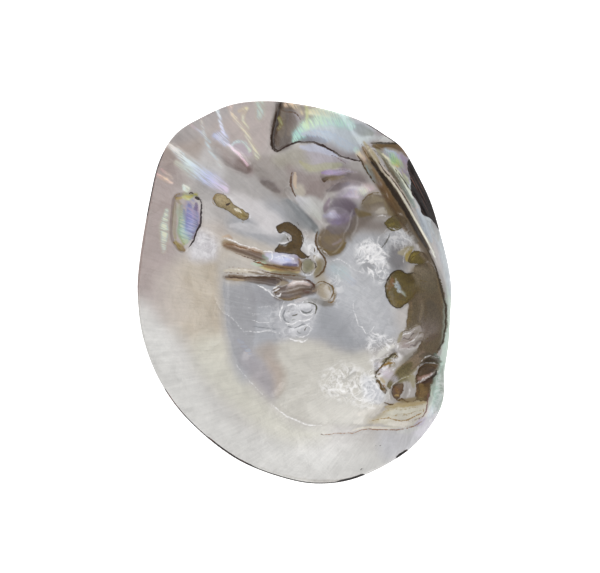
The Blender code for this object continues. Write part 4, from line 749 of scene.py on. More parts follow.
# Thin raised veins with a painted highlight along them: strength, half width, path
VEIN_HIGHLIGHTS = (
    (0.75, 0.36, ((26.4, -3.6), (26.8, -8), (28, -12), (29.2, -15.2), (31, -16), (32.4, -19), (34.4, -18),
        (36, -15.4))),
    (0.6, 0.69, ((16, 13.2), (20, 14.2), (23.4, 12.6), (26.6, 10), (34, 7.2), (37, 6.4))),
    (0.8, 0.89, ((28.4, 17.4), (30.6, 20), (33, 18), (36, 20.4), (37, 16.4), (40, 13.6), (39.4, 9.8))),
    (0.7, 0.62, ((29, 14), (32, 15.4), (35, 12.8), (37.6, 10.4), (36, 8))),
    (0.6, 0.59, ((35, -20), (34.2, -23.4), (32.2, -25.8), (35, -26), (38, -24), (42, -22.6), (45, -24.6))),
    (0.7, 0.52, ((26.2, -38), (25, -42), (26.2, -46), (29, -48.2), (31.6, -44.2), (29, -41.6), (27, -38.6))),
    (0.5, 0.57, ((15, -36), (17.6, -34.4), (20.4, -36), (22.6, -33), (26, -35), (30, -37))),
    (0.4, 0.5, ((12, -45), (17, -44), (22, -45))),
    (0.85, 0.45, ((-4.6, -4.6), (-5.8, -7.4), (-6, -10.4), (-5.2, -13))),
    (0.8, 0.4, ((2, -6.4), (4, -4.8), (7, -4.4), (9.4, -5.8), (9.9, -8), (8.4, -10), (5.6, -10.6),
        (3.2, -9.6), (2, -7.6))),
    (0.9, 0.5, ((-3.6, -6.4), (-1, -5.6), (1.4, -6.4))),
    (0.8, 0.5, ((-4, -13.6), (-0.8, -14.4), (2.6, -13), (5.6, -12.6), (8.6, -11.4))),
    (0.8, 0.35, ((0.6, -16.4), (2.6, -14.6), (6, -14.8), (7.6, -17), (6, -19.4), (2.8, -20.2), (0.2, -18.6))),
    (0.8, 0.5, ((-4, -20.6), (-0.6, -21.4), (3, -22.4), (6.4, -21))),
    (0.7, 0.45, ((-19, -13.2), (-14, -13.9), (-9.4, -13.1))),
    (0.7, 0.45, ((-22, -17.4), (-17, -18.4), (-11, -17.8), (-6, -18.6))),
    (0.45, 0.53, ((-20, -11), (-15, -10.6), (-9, -12.2))),
    (0.45, 0.56, ((-21, -16.4), (-15, -15.6), (-8, -15.8), (-1, -14.8), (5, -15.4))),
    (0.5, 0.5, ((2, -5), (6, -4.2), (9.4, -6))),
    (0.6, 0.42, ((-36, -1.6), (-33.8, -6.4), (-31, -9.8), (-27, -12.8), (-23.6, -16.4), (-21.4, -19))),
    (0.6, 0.53, ((-27.4, -28.6), (-24, -34.8), (-18, -41.6), (-12.6, -47))),
    (0.7, 0.58, ((-10, -49.6), (-6.4, -52.8), (-2.6, -55.4), (4, -58.2), (14, -60))),
    (0.6, 0.58, ((36.6, 21), (38.4, 25), (42, 28), (44.6, 26.6), (46, 24))),
    (0.6, 0.6, ((3.4, 25), (4.6, 20.6), (7.6, 17.8), (10.6, 20.4))),
    (0.7, 0.37, ((13, 18.6), (14.6, 16.6), (16.4, 15.2))),
    (0.6, 0.6, ((-30, 10.4), (-22, 9.6), (-14, 8.4), (-8, 7.8))),
    (0.6, 0.53, ((-16, 2), (-10, -0.2), (-7.6, -2.4))),
    (0.7, 0.9, ((-8, 15.4), (-4, 16), (-0.4, 14.6))),
    (0.7, 0.67, ((-1.6, 3.2), (2.4, 4.4), (6.4, 4))),
    (0.5, 0.53, ((30.4, 63), (32.4, 59), (36.4, 53.4), (42, 45.4))),
    (0.5, 0.3, ((38.6, 59.6), (43.2, 53.4), (48, 46), (52, 38.6), (59.6, 22), (62.6, 14))),
    (0.4, 0.3, ((35.6, 62.4), (38.6, 57.6), (43.6, 50.6), (48.6, 42.6), (53, 34), (57, 26))),
    (0.7, 0.78, ((54.6, -40.8), (57.4, -38.6), (60.6, -36.6), (62.6, -35.2))),
    (0.6, 0.9, ((50.4, -40), (51.4, -44), (49.6, -47.6))),
    (0.8, 0.42, ((47.6, -20.6), (49.4, -19), (51.6, -18.6), (53.6, -17.2))),
    (0.8, 0.42, ((49, -23.4), (51, -22), (53, -21.4), (55, -19.6))),
    (0.7, 0.42, ((47.6, -25.4), (49.6, -25), (51.4, -25.4), (53.2, -24.6))),
    (0.5, 0.5, ((-27, -2.4), (-20, -3.6), (-13, -3))),
    (0.5, 0.5, ((-26, -6.4), (-19, -7.2), (-12, -6.8), (-7, -8))),
    (0.5, 0.45, ((-24, -9.4), (-17, -10), (-9, -9.6))),
    (0.4, 0.53, ((40.5, -64), (40, -67), (37, -71))),
    (0.6, 0.3, ((44, 1.6), (46, 3.4), (46.4, 0.6), (48.6, -0.8))),
    (0.5, 0.8, ((40, -36), (44, -35), (47.4, -32))),
    (0.5, 0.53, ((37.6, 36.4), (40.4, 37), (42, 35))),
    (0.8, 0.5, ((-31, 23.6), (-27, 22.2), (-18, 19.2), (-14, 18))),
    (0.8, 0.5, ((-13.6, 17.6), (-11.4, 18), (-9.6, 17.6), (-9.4, 15), (-10.6, 13.4))),
    (0.8, 0.5, ((-7, 14.6), (-5.6, 15.4), (-4.6, 14))),
    (0.6, 0.36, ((-28, 7.7), (-20, 6.9), (-14, 7.2), (-10, 7.4), (-4, 5.8), (0, 5.2))),
    (1, 0.5, ((-9.4, 1.4), (-8, 2.2), (-6.6, 2.6))),
    (1, 0.5, ((-9, -0.2), (-7.6, 0.8), (-6.2, 1.4))),
    (1, 0.5, ((-8, -1.6), (-6.6, -1.8), (-5.8, -0.8))),
    (0.85, 0.42, ((-17, 2.8), (-13, 0.8), (-9.6, -1.8), (-7, -3.2), (-4.6, -3.6))),
    (0.7, 0.35, ((-6.6, 25.2), (-5, 25.6), (-3, 25), (-1.8, 23))),
    (0.8, 0.35, ((-5.6, 21.4), (-3.4, 21.6), (-1.8, 22.4))),
    (0.8, 0.35, ((12.2, 19.2), (13.6, 17.6), (15, 16.2))),
    (0.7, 0.4, ((3.2, 9.4), (4.6, 7.8), (6.6, 7.4), (8.6, 8.4), (9.6, 10.2))),
    (0.6, 0.4, ((-3.6, -14.6), (0, -14), (4, -13.2), (8.4, -12.4))),
    (0.5, 0.4, ((1, -6.6), (1.6, -9), (3.6, -11.6), (6.6, -11.6), (8.6, -10.4))),
    (0.8, 0.45, ((37, 33.4), (39, 33.8), (41, 33.2))),
    (0.8, 0.6, ((43, 28.4), (45, 26.8), (47, 26.4), (48.6, 24), (51, 22.6), (52, 20))),
    (0.7, 0.5, ((49, 12.6), (48.6, 15), (49.2, 17.6), (51, 19.4))),
    (0.7, 0.4, ((52.4, -36.8), (48, -38.4), (45, -40.2), (43.2, -42.4), (42.8, -45.6))),
    (0.7, 0.5, ((37, -35), (40, -34.6), (43, -34.8), (45.6, -33.6))),
    (0.7, 0.4, ((41, -29.6), (43.6, -30), (46.4, -29.4), (48.6, -29.6))),
    (0.75, 0.35, ((55.8, -31.4), (58.2, -29.3), (61, -28.5), (64, -29.3))),
    (0.75, 0.35, ((55, -34.4), (57.4, -32.1), (60, -31.5), (63, -32.2))),
    (0.6, 0.35, ((59.6, -44), (60.6, -41.6), (61.4, -39.6))),
    (0.6, 0.4, ((40, -46), (41.6, -45), (42, -47.6), (40.4, -49.2), (43, -49.4))),
)

# Painted rainbow sheen and highlights on the nacre: strength, path with half widths, colours along it
LUSTRE_HIGHLIGHTS = (
    (0.95, ((-55.5, 65, 1), (-50, 60.4, 1.6), (-45, 55.6, 2), (-40, 51.4, 2.6), (-35, 48.6, 2.8),
        (-30.5, 45.4, 1.6)), ("#f2ebe6", "#ddedf1", "#c8cff1", "#dccfe2")),
    (0.6, ((-52, 57, 1), (-46, 53, 1.6), (-40, 49, 1.4)), ("#d8d8c8", "#d5e4e0", "#c5cdea")),
    (0.8, ((-60.5, 51.6, 0.5), (-57.4, 49.8, 0.9), (-54, 48, 0.5)), ("#e9bdb8", "#eed2b8", "#e3c7c0")),
    (0.6, ((-58.5, 54, 0.4), (-56, 52, 0.6), (-53.6, 50, 0.4)), ("#e0b8b6", "#e9d6c8", "#d9cfc8")),
    (1, ((-34, 80, 0.6), (-32.4, 75, 0.7), (-30.6, 67, 0.8), (-27.6, 63.6, 0.6), (-24, 60.4, 0.6),
        (-20.5, 56, 0.5)), ("#e4ecee", "#d8def6", "#f0e2ec", "#dcb8c6")),
    (0.8, ((-34.6, 68.6, 1.6), (-32, 68.6, 2.2), (-30.6, 66.4, 1.6)), ("#c6cdee", "#dbe0f8", "#c8cfe8")),
    (0.6, ((-45, 73.6, 0.6), (-40.6, 69.4, 0.9), (-37, 66.4, 0.6)), ("#e0c6c8", "#cfd6e4", "#c4dce4")),
    (0.6, ((-41, 75.6, 0.7), (-38, 64.6, 0.8), (-32.4, 55.6, 0.8)), ("#d8ccc0", "#cfdce2", "#d3d4d0")),
    (0.75, ((-28, 81.6, 0.8), (-27, 78, 0.9), (-20.6, 69, 0.8), (-18, 64.6, 0.9), (-16, 59.6, 1)),
        ("#e9cfc2", "#e6dfc7", "#d8d8c2")),
    (0.7, ((-27.8, 65, 0.6), (-25, 66.8, 0.7), (-21.6, 65.8, 0.7), (-19.4, 62.6, 0.7)),
        ("#cfd9de", "#cce2df", "#d2dccc")),
    (0.6, ((-15, 83.6, 1.8), (-14.6, 80, 1.8), (-15.6, 76.6, 1.2)), ("#cddccb", "#cadccf", "#c4c9bc")),
    (0.7, ((-23.6, 79.6, 0.8), (-20.6, 81, 0.8), (-22.6, 76.4, 0.8), (-20.6, 72, 0.7)),
        ("#e6d9b4", "#e8debf", "#dcd6c0")),
    (0.8, ((-56.4, 36, 0.8), (-57.2, 30, 1.5), (-57.4, 24, 1.6), (-57.6, 18, 0.8)),
        ("#ccd6c6", "#d0dccb", "#cfcfc2")),
    (0.8, ((-49.8, 38, 0.8), (-49.8, 32, 1.1), (-49.4, 26, 1.2), (-48.6, 21.6, 0.9)),
        ("#8f8c78", "#acb8a4", "#b0cdc6", "#a4b08c")),
    (0.75, ((-46, 39, 2.2), (-45.4, 33, 2.6), (-46.2, 27, 2.2), (-48, 22.6, 1.2)),
        ("#8d86a8", "#9a94c8", "#a4aed4", "#a8b89c")),
    (0.3, ((-43, 37, 1.2), (-42.8, 33, 1.2), (-44, 28, 1)), ("#7c6c86", "#7f7886")),
    (0.8, ((-43.4, 42.8, 0.6), (-48, 42.4, 1.2), (-46.8, 46, 0.8), (-49, 47.4, 0.6)),
        ("#9c9a50", "#b4b070", "#dfe6da", "#dfe6e0")),
    (0.9, ((0.6, 66.8, 1.2), (2.4, 70, 2.4), (6, 73.4, 2.4), (10.6, 75.6, 2.4), (16, 76, 2.8), (21, 75, 2.6),
        (25.4, 72.6, 1.6)), ("#b4e0d2", "#b0e4dc", "#dcf6d0", "#d8f4dc", "#cceede", "#c8f0e4", "#bcd6d2")),
    (0.85, ((7, 79.4, 1), (17, 78, 1.6), (22, 76.8, 1.4)), ("#f6f2d4", "#dcf4f4")),
    (0.8, ((4, 69.6, 0.8), (10, 70, 1.6), (18, 67.6, 2.2), (26, 63, 1.6)), ("#b4bed0", "#c6d1e2", "#c4ccd8")),
    (0.85, ((-3.6, 82.4, 1), (0.6, 81.4, 1.2), (3.4, 78.8, 1)), ("#ecd2ba", "#ecdac0", "#dccdb0")),
    (0.7, ((5.4, 82, 0.6), (6, 78.6, 0.7), (5.6, 75.6, 0.7), (7, 73, 0.6)), ("#d8d4a0", "#c4dcb8")),
    (0.6, ((-7, 77, 0.8), (-5.6, 74.6, 0.9), (-6.6, 72, 0.6)), ("#a39a5c", "#a9a468", "#94865c")),
    (0.8, ((40.4, 62, 1), (43.6, 59.6, 1.5), (46.4, 56, 1.6), (48, 52.6, 1)),
        ("#a9b8c4", "#a4c09c", "#a0b884", "#a08ca4")),
    (0.5, ((46, 60, 1.2), (49, 57, 1.4), (50, 53, 1)), ("#a694b0", "#9c8aa6", "#a09298")),
    (0.8, ((27.4, 62.8, 1), (28.8, 60.8, 1.3), (31, 58.6, 0.9)), ("#c8e4e0", "#ecdcc0", "#dcc4b4")),
    (0.5, ((32, 55, 1), (35, 50.6, 1.2), (38, 47, 0.9)), ("#9cb0a8", "#a49c98")),
    (0.6, ((64.6, -32, 1), (62.8, -40, 1.2), (62.4, -45, 1.2)), ("#b0c8b8", "#a4bab0")),
    (0.6, ((64, -46, 1.4), (62.4, -50, 1.6), (59.4, -55.6, 1.2)), ("#b0c0ba", "#c0c6c8")),
    (0.6, ((66.6, -4, 1), (66.8, -14, 1.1), (65.6, -24, 1.2)), ("#bfd0c4",)),
    (0.35, ((61, 24, 1), (63.6, 16, 1.2), (66, 6, 1)), ("#a9acb4", "#b8bcc8", "#b8c0c4")),
    (0.85, ((25, 43.8, 1.2), (27.8, 43.6, 1.8), (31, 44.4, 1.4), (34, 45.4, 0.8)),
        ("#c8bcd0", "#e6dce2", "#d4dcc4", "#dcc4cc")),
    (0.6, ((13.6, 33.4, 1), (16.4, 33.8, 1.6), (19.6, 33.2, 1.2)), ("#b4b0c0", "#c9c5d6", "#aaa2b8")),
    (0.35, ((17, 30.4, 1), (21, 31, 1.4), (24, 33, 1)), ("#8b7fa0", "#8a7e98")),
    (0.6, ((13.4, 52.6, 0.8), (18, 53.4, 1), (23, 53.4, 0.8), (28, 52.4, 0.5)),
        ("#94869f", "#aa9eb2", "#b8adb0")),
    (0.5, ((-10, 16, 1.2), (-6, 15.4, 1.4), (-2.4, 14.2, 1.2)), ("#c8cfd8", "#a9acd8")),
    (0.5, ((-17, 12.6, 0.7), (-13, 13.2, 0.8)), ("#c2dac0",)),
    (0.6, ((36.6, -32.6, 1.6), (41, -35.6, 2.2), (44.6, -39, 1.6)), ("#c8c8dc", "#dcc8d4", "#c8c4d0")),
    (0.5, ((46, 4, 0.5), (47.4, 1, 0.6), (49.4, -1.2, 0.5)), ("#b4bcc8", "#c0ccd4", "#a8b8a8")),
    (0.4, ((49, -23.4, 1.2), (57, -17.6, 0.9)), ("#b4a4a4", "#9c9490")),
    (0.5, ((18, 10, 2.6), (22, 8, 3), (26, 4, 2)), ("#b8c8cc", "#bccccc", "#b8bcc8")),
    (0.6, ((-24.4, -22, 1.4), (-20, -27, 1.2)), ("#a6a6b0",)),
)

# Bare, dark patch of the outer skin that wraps over the margin: softness, outline
SKIN = (
    (0.8, ((50.4, 58.4), (52.6, 60), (60, 50), (66, 38), (66, 30), (63.6, 27.4), (62, 29.6), (60, 32),
        (57.6, 33.2), (56.2, 34.4), (55.4, 37.6), (53.6, 40.4), (51.6, 43.4), (51.4, 46), (51, 50),
        (49.8, 54.6))),
)
# Stretches of the margin where the dark outer skin shows as a line: first and last point, width
SKIN_LINES = (
    ((-58, -41), (33, -80), 0.5), ((-40, -63), (-16, -78), 0.8), ((17, -84), (33, -80), 1.0),
    ((43.4, -74.6), (51.4, -68.4), 1.1), ((-64, 30), (-56, 64), 0.5), ((30, 76), (48, 63), 0.5),
)
SKIN_LINE_END = 0.05  # radians over which such a line runs out

# Noise in the nacre: size in millimetres, detail, roughness, distortion
NACRE_NOISE = {
    "cloud": (7.1429, 6.0, 0.6, 0.8),
    "silk": (2.0, 4.0, 0.65, 1.2),
    "grit": (0.66667, 4.0, 0.5, 0.0),
    "ragged": (1.1111, 4.0, 0.5, 0.0),
    "crease": (6.6667, 2.0, 0.5, 1.8),
    "foil": (4.5455, 4.0, 0.5, 1.6),
}
SHEET_NANOMETRES = 300.0

# Colours of the outer skin through its bands
SKIN_BANDS = ((0.3, "#1f1712"), (0.5, "#3c2d1c"), (0.72, "#6a5234"))

# The studio, in metres and watts: the table, the lights (name, place, size, power) and the camera
TABLE_SIZE = 6.0
TABLE_GAP = 0.0002
SKY_STRENGTH = 0.3
SOFTBOXES = (
    ("back light", (-0.1, 0.9, 0.85), 0.7, 6.5),
    ("right light", (0.9, 0.1, 0.8), 0.6, 4.0),
    ("left light", (-0.9, 0.0, 0.8), 0.6, 3.0),
    ("front light", (0.1, -0.9, 0.85), 0.7, 3.5),
)
CAMERA_DISTANCE = 1.6
SEEN_WIDTH = 0.264
SENSOR_WIDTH = 36.0
SEEN_CENTRE = (2.64, 2.2)  # in millimetres, as on the valve


def smoothstep(value):
    """0 below 0, 1 above 1, and a smooth slope between."""
    t = np.clip(value, 0.0, 1.0)
    return t * t * (3.0 - 2.0 * t)


def linear(code):
    """An sRGB hex colour as linear red, green and blue."""
    parts = [int(code[i : i + 2], 16) / 255.0 for i in (1, 3, 5)]
    return np.array([p / 12.92 if p <= 0.04045 else ((p + 0.055) / 1.055) ** 2.4 for p in parts])


def smooth_path(points, steps, closed):
    """A Catmull-Rom curve through the points, as an array of rows."""
    knots = np.array(points, float)
    if closed:
        knots = np.vstack([knots[-1], knots, knots[:2]])
    else:
        knots = np.vstack([2 * knots[0] - knots[1], knots, 2 * knots[-1] - knots[-2]])
    t = np.linspace(0.0, 1.0, steps, endpoint=False)[:, None]
    rows = []
    for before, start, end, after in zip(knots, knots[1:], knots[2:], knots[3:]):
        bend = 2 * before - 5 * start + 4 * end - after
        twist = 3 * (start - end) + after - before
        rows.append(start + 0.5 * ((end - before) * t + bend * t**2 + twist * t**3))
    if not closed:
        rows.append(knots[-2][None])
    return np.vstack(rows)


def radius_about(loop, centre):
    """A closed loop's radius about a centre inside it, as a function of the bearing."""
    offset = loop - np.array(centre)
    bearing = np.arctan2(offset[:, 1], offset[:, 0])
    order = np.argsort(bearing)
    radius = np.hypot(offset[:, 0], offset[:, 1])
    return lambda b: np.interp(b, bearing[order], radius[order], period=2 * math.pi)


def near(x, y, path, reach):
    """Which points are within reach of a path's bounding box."""
    low, high = path[:, :2].min(axis=0) - reach, path[:, :2].max(axis=0) + reach
    return (x > low[0]) & (x < high[0]) & (y > low[1]) & (y < high[1])


def nearest_on_path(x, y, path):
    """Distance to a path, and how many of its points are passed there."""
    best = np.full(x.shape, np.inf)
    passed = np.zeros(x.shape)
    for i, (start, end) in enumerate(zip(path[:-1], path[1:])):
        along = end[:2] - start[:2]
        dx, dy = x - start[0], y - start[1]
        t = np.clip((dx * along[0] + dy * along[1]) / (along @ along), 0.0, 1.0)
        distance = np.hypot(dx - t * along[0], dy - t * along[1])
        closer = distance < best
        best = np.where(closer, distance, best)
        passed = np.where(closer, i + t, passed)
    return best, passed


def inside_distance(x, y, loop):
    """Distance to a closed loop, positive inside it."""
    distance = nearest_on_path(x, y, np.vstack([loop, loop[:1]]))[0]
    crossings = np.zeros(x.shape, bool)
    for (x0, y0), (x1, y1) in zip(loop, np.roll(loop, -1, axis=0)):
        spans = (y0 > y) != (y1 > y)
        if y0 != y1:
            crossings ^= spans & (x < (x1 - x0) * (y - y0) / (y1 - y0) + x0)
    return np.where(crossings, distance, -distance)


def area_share(x, y, outline, softness):
    """1 inside an outline, 0 outside, and this softness across the edge."""
    loop = smooth_path(outline, CURVE_STEPS, closed=True)
    share = np.zeros(x.shape)
    close = near(x, y, loop, softness)
    share[close] = smoothstep(inside_distance(x[close], y[close], loop) / softness + 0.5)
    return share


def path_profile(x, y, points, profile, spread=1.0):
    """A profile of (distance / half width) along a path, and how far along the path each point is."""
    path = smooth_path(points, CURVE_STEPS, closed=False)
    value, share = np.zeros(x.shape), np.zeros(x.shape)
    close = near(x, y, path, path[:, 2].max() * 2.5 * spread)
    distance, passed = nearest_on_path(x[close], y[close], path)
    width = np.interp(passed, np.arange(len(path)), path[:, 2]) * spread
    value[close] = profile(distance / width)
    share[close] = passed / (len(path) - 1)
    return value, share


def smooth_noise(x, y, size, seed):
    """Value noise from -1 to 1 with cells of this size in millimetres."""
    u, v = x / size, y / size
    i, j = np.floor(u).astype(int), np.floor(v).astype(int)
    fu, fv = smoothstep(u - i), smoothstep(v - j)
    lattice = np.random.default_rng(seed).uniform(-1.0, 1.0, (256, 256))
    corner = [[lattice[(i + a) % 256, (j + b) % 256] for b in (0, 1)] for a in (0, 1)]
    low = corner[0][0] * (1 - fu) + corner[1][0] * fu
    high = corner[0][1] * (1 - fu) + corner[1][1] * fu
    return low * (1 - fv) + high * fv


MARGIN_LOOP = smooth_path(MARGIN, 16, closed=True)
CREST = smooth_path(CREST_INSET, 8, closed=False)
margin_radius = radius_about(MARGIN_LOOP, DEEPEST)
beak_radius = radius_about(MARGIN_LOOP, BEAK)


def bearing_and_distance(x, y, centre):
    """In which direction from a centre, and how far from it, each point lies."""
    return np.arctan2(y - centre[1], x - centre[0]), np.hypot(x - centre[0], y - centre[1])


def margin_distance(x, y):
    """How far a point is in from the margin, measured away from the deepest point."""
    bearing, distance = bearing_and_distance(x, y, DEEPEST)
    return margin_radius(bearing) - distance


def reach_to_rim(x, y, inset):
    """The share of the way from the deepest point to the rim, with the rim this far in from the margin."""
    bearing, distance = bearing_and_distance(x, y, DEEPEST)
    return np.clip(distance / (margin_radius(bearing) - inset), 0.0, 1.0)


def crest_inset(x, y):
    """How wide the hinge plate is in this direction."""
    bearing = np.degrees(bearing_and_distance(x, y, DEEPEST)[0])
    return np.clip(np.interp(bearing, CREST[:, 0], CREST[:, 1]), 0.0, None)


def growth_share(x, y):
    """The share of the way from the beak to the margin, the same all along one growth line."""
    bearing, distance = bearing_and_distance(x, y, BEAK)
    return distance / beak_radius(bearing)


def dome(x, y, path):
    """A rounded ridge along a path whose third column is its half width: 1 on the path, 0 beyond."""
    height = np.zeros(x.shape)
    close = near(x, y, path, path[:, 2].max())
    distance, passed = nearest_on_path(x[close], y[close], path)
    width = np.interp(passed, np.arange(len(path)), path[:, 2])
    round_top = np.clip(1.0 - (distance / width) ** 2, 0.0, 1.0) ** 1.2
    height[close] = round_top * (width / path[:, 2].max()) ** 0.7
    return height


def tooth_paths():
    """The hinge teeth as paths with a half width, bowed apart midway and meeting at both ends."""
    crest = smooth_path(TOOTH_CREST, CURVE_STEPS, closed=False)
    along = np.gradient(crest, axis=0)
    outward = np.stack([-along[:, 1], along[:, 0]], axis=1) / np.hypot(along[:, 0], along[:, 1])[:, None]
    outward *= np.sign(outward[:, :1])
    bow = np.sin(np.linspace(0.0, math.pi, len(crest))) ** 0.8
    widths = TOOTH_HALF_WIDTH * (0.35 + 0.65 * bow)
    return [np.column_stack([crest + outward * (offset * bow)[:, None], widths]) for offset in TOOTH_OFFSETS]


def relief(x, y):
    """Everything that stands up from the hollow or lies low in it."""
    height = np.zeros(x.shape)
    for lift, bank, outline in PATCHES.values():
        height += lift * area_share(x, y, outline, bank)
    for lift, points in BLISTERS.values():
        height += lift * dome(x, y, smooth_path(points, CURVE_STEPS, closed=False))
    teeth = [lift * dome(x, y, path) for lift, path in zip(TOOTH_LIFTS, tooth_paths())]
    return height + np.max(teeth, axis=0)


def fine_relief(x, y, attributes):
    """The folds, crumples, veins and crusts that are too low for the plain form."""
    height = np.zeros(x.shape)
    for seed, (lift, size) in enumerate(FOLDS):
        height += lift * smooth_noise(x, y, size, seed)
    wide, fine = (np.abs(smooth_noise(x, y, size, 11 + i)) for i, size in enumerate(CRUMPLE_SIZES))
    height += CRUMPLE_LIFT * attributes["crumple_light_and_shade"] * (1.0 - wide - 0.5 * fine)
    coarse, crumbs = (smooth_noise(x, y, size, 13 + i) for i, size in enumerate(CRUST_SIZES))
    height += CRUST_LIFT * attributes["film"] * (coarse + 0.6 * crumbs)
    return height + VEIN_LIFT * attributes["vein_highlight"] - LINE_DEPTH * attributes["line"]


def lip(x, y):
    """0 at the very edge of the valve and 1 once past its rounded lip."""
    inward = np.clip(margin_distance(x, y) / LIP_RADIUS, 0.0, 1.0)
    return np.sqrt(1.0 - (1.0 - inward) ** 2)


def wandered(x, y):
    """The same points shifted a little this way and that, so that no painted edge is a clean curve.
    Close to the hinge teeth they hardly shift, because the paint there follows the ridges."""
    dx, dy = np.zeros(x.shape), np.zeros(x.shape)
    for seed, (shift, size) in enumerate(WANDER):
        dx += shift * smooth_noise(x, y, size, 30 + seed)
        dy += shift * smooth_noise(x, y, size, 40 + seed)
    from_teeth = nearest_on_path(x, y, smooth_path(TOOTH_CREST, 2, closed=False))[0]
    loose = 0.2 + 0.8 * smoothstep(from_teeth / STEADY_BY_THE_TEETH)
    return x + loose * dx, y + loose * dy


def tapered(points, half_width):
    """A path with a third column, its half width, that narrows to both ends."""
    ends = np.sin(np.linspace(0.0, math.pi, len(points))) ** 0.5
    return np.column_stack([np.array(points, float), half_width * (0.45 + 0.55 * ends)])


def blend(under, over, share):
    """One colour per point laid over another by this share."""
    return under + share[:, None] * (over - under)


def colours_along(codes, share):
    """The colour at this share of the way through a row of colours."""
    colours = np.array([linear(code) for code in codes])
    at = share * (len(codes) - 1)
    return np.column_stack([np.interp(at, np.arange(len(codes)), colours[:, c]) for c in range(3)])


def fading(d):
    """Full on a line's path and gone at twice its half width."""
    return np.clip(1.0 - 0.5 * d, 0.0, 1.0)


def paint(x, y):
    """Colours and shares of every finish on the pearly face."""
    wx, wy = wandered(x, y)
    tint, film_tint, line_tint = (np.tile(linear(code), (len(x), 1)) for code in (NACRE, HORN, CRACK))
    film, edge, line, vein_highlight, crumple_light_and_shade, skin = np.zeros((6, len(x)))
    for code, strength, softness, outline in WASHES:
        tint = blend(tint, linear(code), strength * area_share(wx, wy, outline, softness))
    for code, dark, softness, outline in FILMS:
        share = area_share(wx, wy, outline, softness)
        over = smoothstep(share * 2.4 - 0.5)
        film = np.maximum(film, share)
        edge += over * (dark - edge)
        film_tint = blend(film_tint, linear(code), over)
    for codes, strength, half_width, points in STROKES:
        value, share = path_profile(wx, wy, tapered(points, half_width), lambda d: smoothstep(1.7 - d))
        colours = colours_along(codes, share)
        tint = blend(tint, colours, strength * value)
        film_tint = blend(film_tint, colours, strength * value)
    for code, strength, half_width, points in LINES:
        value = strength * path_profile(wx, wy, tapered(points, half_width), fading)[0]
        line_tint = np.where((value > line)[:, None], linear(code), line_tint)
        line = np.maximum(line, value)
    for strength, half_width, points in VEIN_HIGHLIGHTS:
        vein_highlight = np.maximum(vein_highlight, strength * path_profile(wx, wy, tapered(points, half_width), fading)[0])
    lustre_highlight = np.zeros((len(x), 4))
    for strength, points, codes in LUSTRE_HIGHLIGHTS:
        value, share = path_profile(wx, wy, points, lambda d: np.exp(-(d**3)), 1.1)
        over = strength * value
        weight = over / np.maximum(over + lustre_highlight[:, 3] * (1 - over), 1e-6)
        lustre_highlight[:, :3] = blend(lustre_highlight[:, :3], colours_along(codes, share), weight)
        lustre_highlight[:, 3] += over * (1 - lustre_highlight[:, 3])
    for strength, softness, outline in CRUMPLES_LIT_AND_SHADED:
        crumple_light_and_shade = np.maximum(crumple_light_and_shade, strength * area_share(wx, wy, outline, softness))
    for softness, outline in SKIN:
        skin = np.maximum(skin, area_share(wx, wy, outline, softness))
    for first, last, width in SKIN_LINES:
        skin = np.maximum(skin, skin_line(x, y, first, last, width))
    found = {"film": film, "film_edge": edge, "line": line, "vein_highlight": vein_highlight, "crumple_light_and_shade": crumple_light_and_shade, "skin": skin}
    opaque = np.ones((len(x), 1))
    for name, colour in {"tint": tint, "film_tint": film_tint, "line_tint": line_tint}.items():
        found[name] = np.hstack([colour, opaque])
    return found | {"lustre_highlight": lustre_highlight}


def skin_line(x, y, first, last, width):
    """The line of dark skin along the margin, between two points of it."""
    bearing = bearing_and_distance(x, y, DEEPEST)[0]
    start, end = (math.atan2(p[1] - DEEPEST[1], p[0] - DEEPEST[0]) for p in (first, last))
    middle = math.atan2(math.sin(start) + math.sin(end), math.cos(start) + math.cos(end))
    half = abs(math.remainder(start - middle, 2 * math.pi))
    away = np.abs(np.mod(bearing - middle + math.pi, 2 * math.pi) - math.pi)
    return smoothstep((half - away) / SKIN_LINE_END) * smoothstep(1.5 - margin_distance(x, y) / width)


def even_loop(inset):
    """Evenly spaced points round the margin, moved in towards the deepest point."""
    steps = np.hypot(*(np.roll(MARGIN_LOOP, -1, axis=0) - MARGIN_LOOP).T)
    travelled = np.concatenate([[0.0], np.cumsum(steps)])
    ends = np.vstack([MARGIN_LOOP, MARGIN_LOOP[:1]])
    at = np.linspace(0.0, travelled[-1], round(travelled[-1] / RIM_SPACING), endpoint=False)
    loop = np.column_stack([np.interp(at, travelled, ends[:, axis]) for axis in (0, 1)])
    offset = loop - np.array(DEEPEST)
    length = np.hypot(offset[:, 0], offset[:, 1])[:, None]
    return np.array(DEEPEST) + offset * (1.0 - inset / length)


def hexagonal_points(spacing):
    """Points of a hexagonal net that lie well inside the margin."""
    low, high = MARGIN_LOOP.min(axis=0), MARGIN_LOOP.max(axis=0)
    rows = np.arange(low[1], high[1], spacing * math.sqrt(0.75))
    columns = np.arange(low[0], high[0], spacing)
    x, y = np.meshgrid(columns, rows)
    x += 0.5 * spacing * (np.arange(len(rows)) % 2)[:, None]
    points = np.column_stack([x.ravel(), y.ravel()])
    return points[margin_distance(*points.T) > RIM_ROWS[-1] + 0.5 * spacing]


def sheet(points, rim_count):
    """Triangles over the outline through the points, and the points as they were kept, the rim's first."""
    flat = [Vector(p) for p in np.vstack([*(even_loop(inset) for inset in (0.0, *RIM_ROWS)), points])]
    placed, _, faces, sources, _, _ = delaunay_2d_cdt(flat, [], [list(range(rim_count))], 1, SAME_POINT)
    origin = np.array([min(s) for s in sources])
    order = np.argsort(origin)
    rank = np.empty(len(order), int)
    rank[order] = np.arange(len(order))
    return np.array([tuple(p) for p in placed])[order], rank[np.array(faces)]


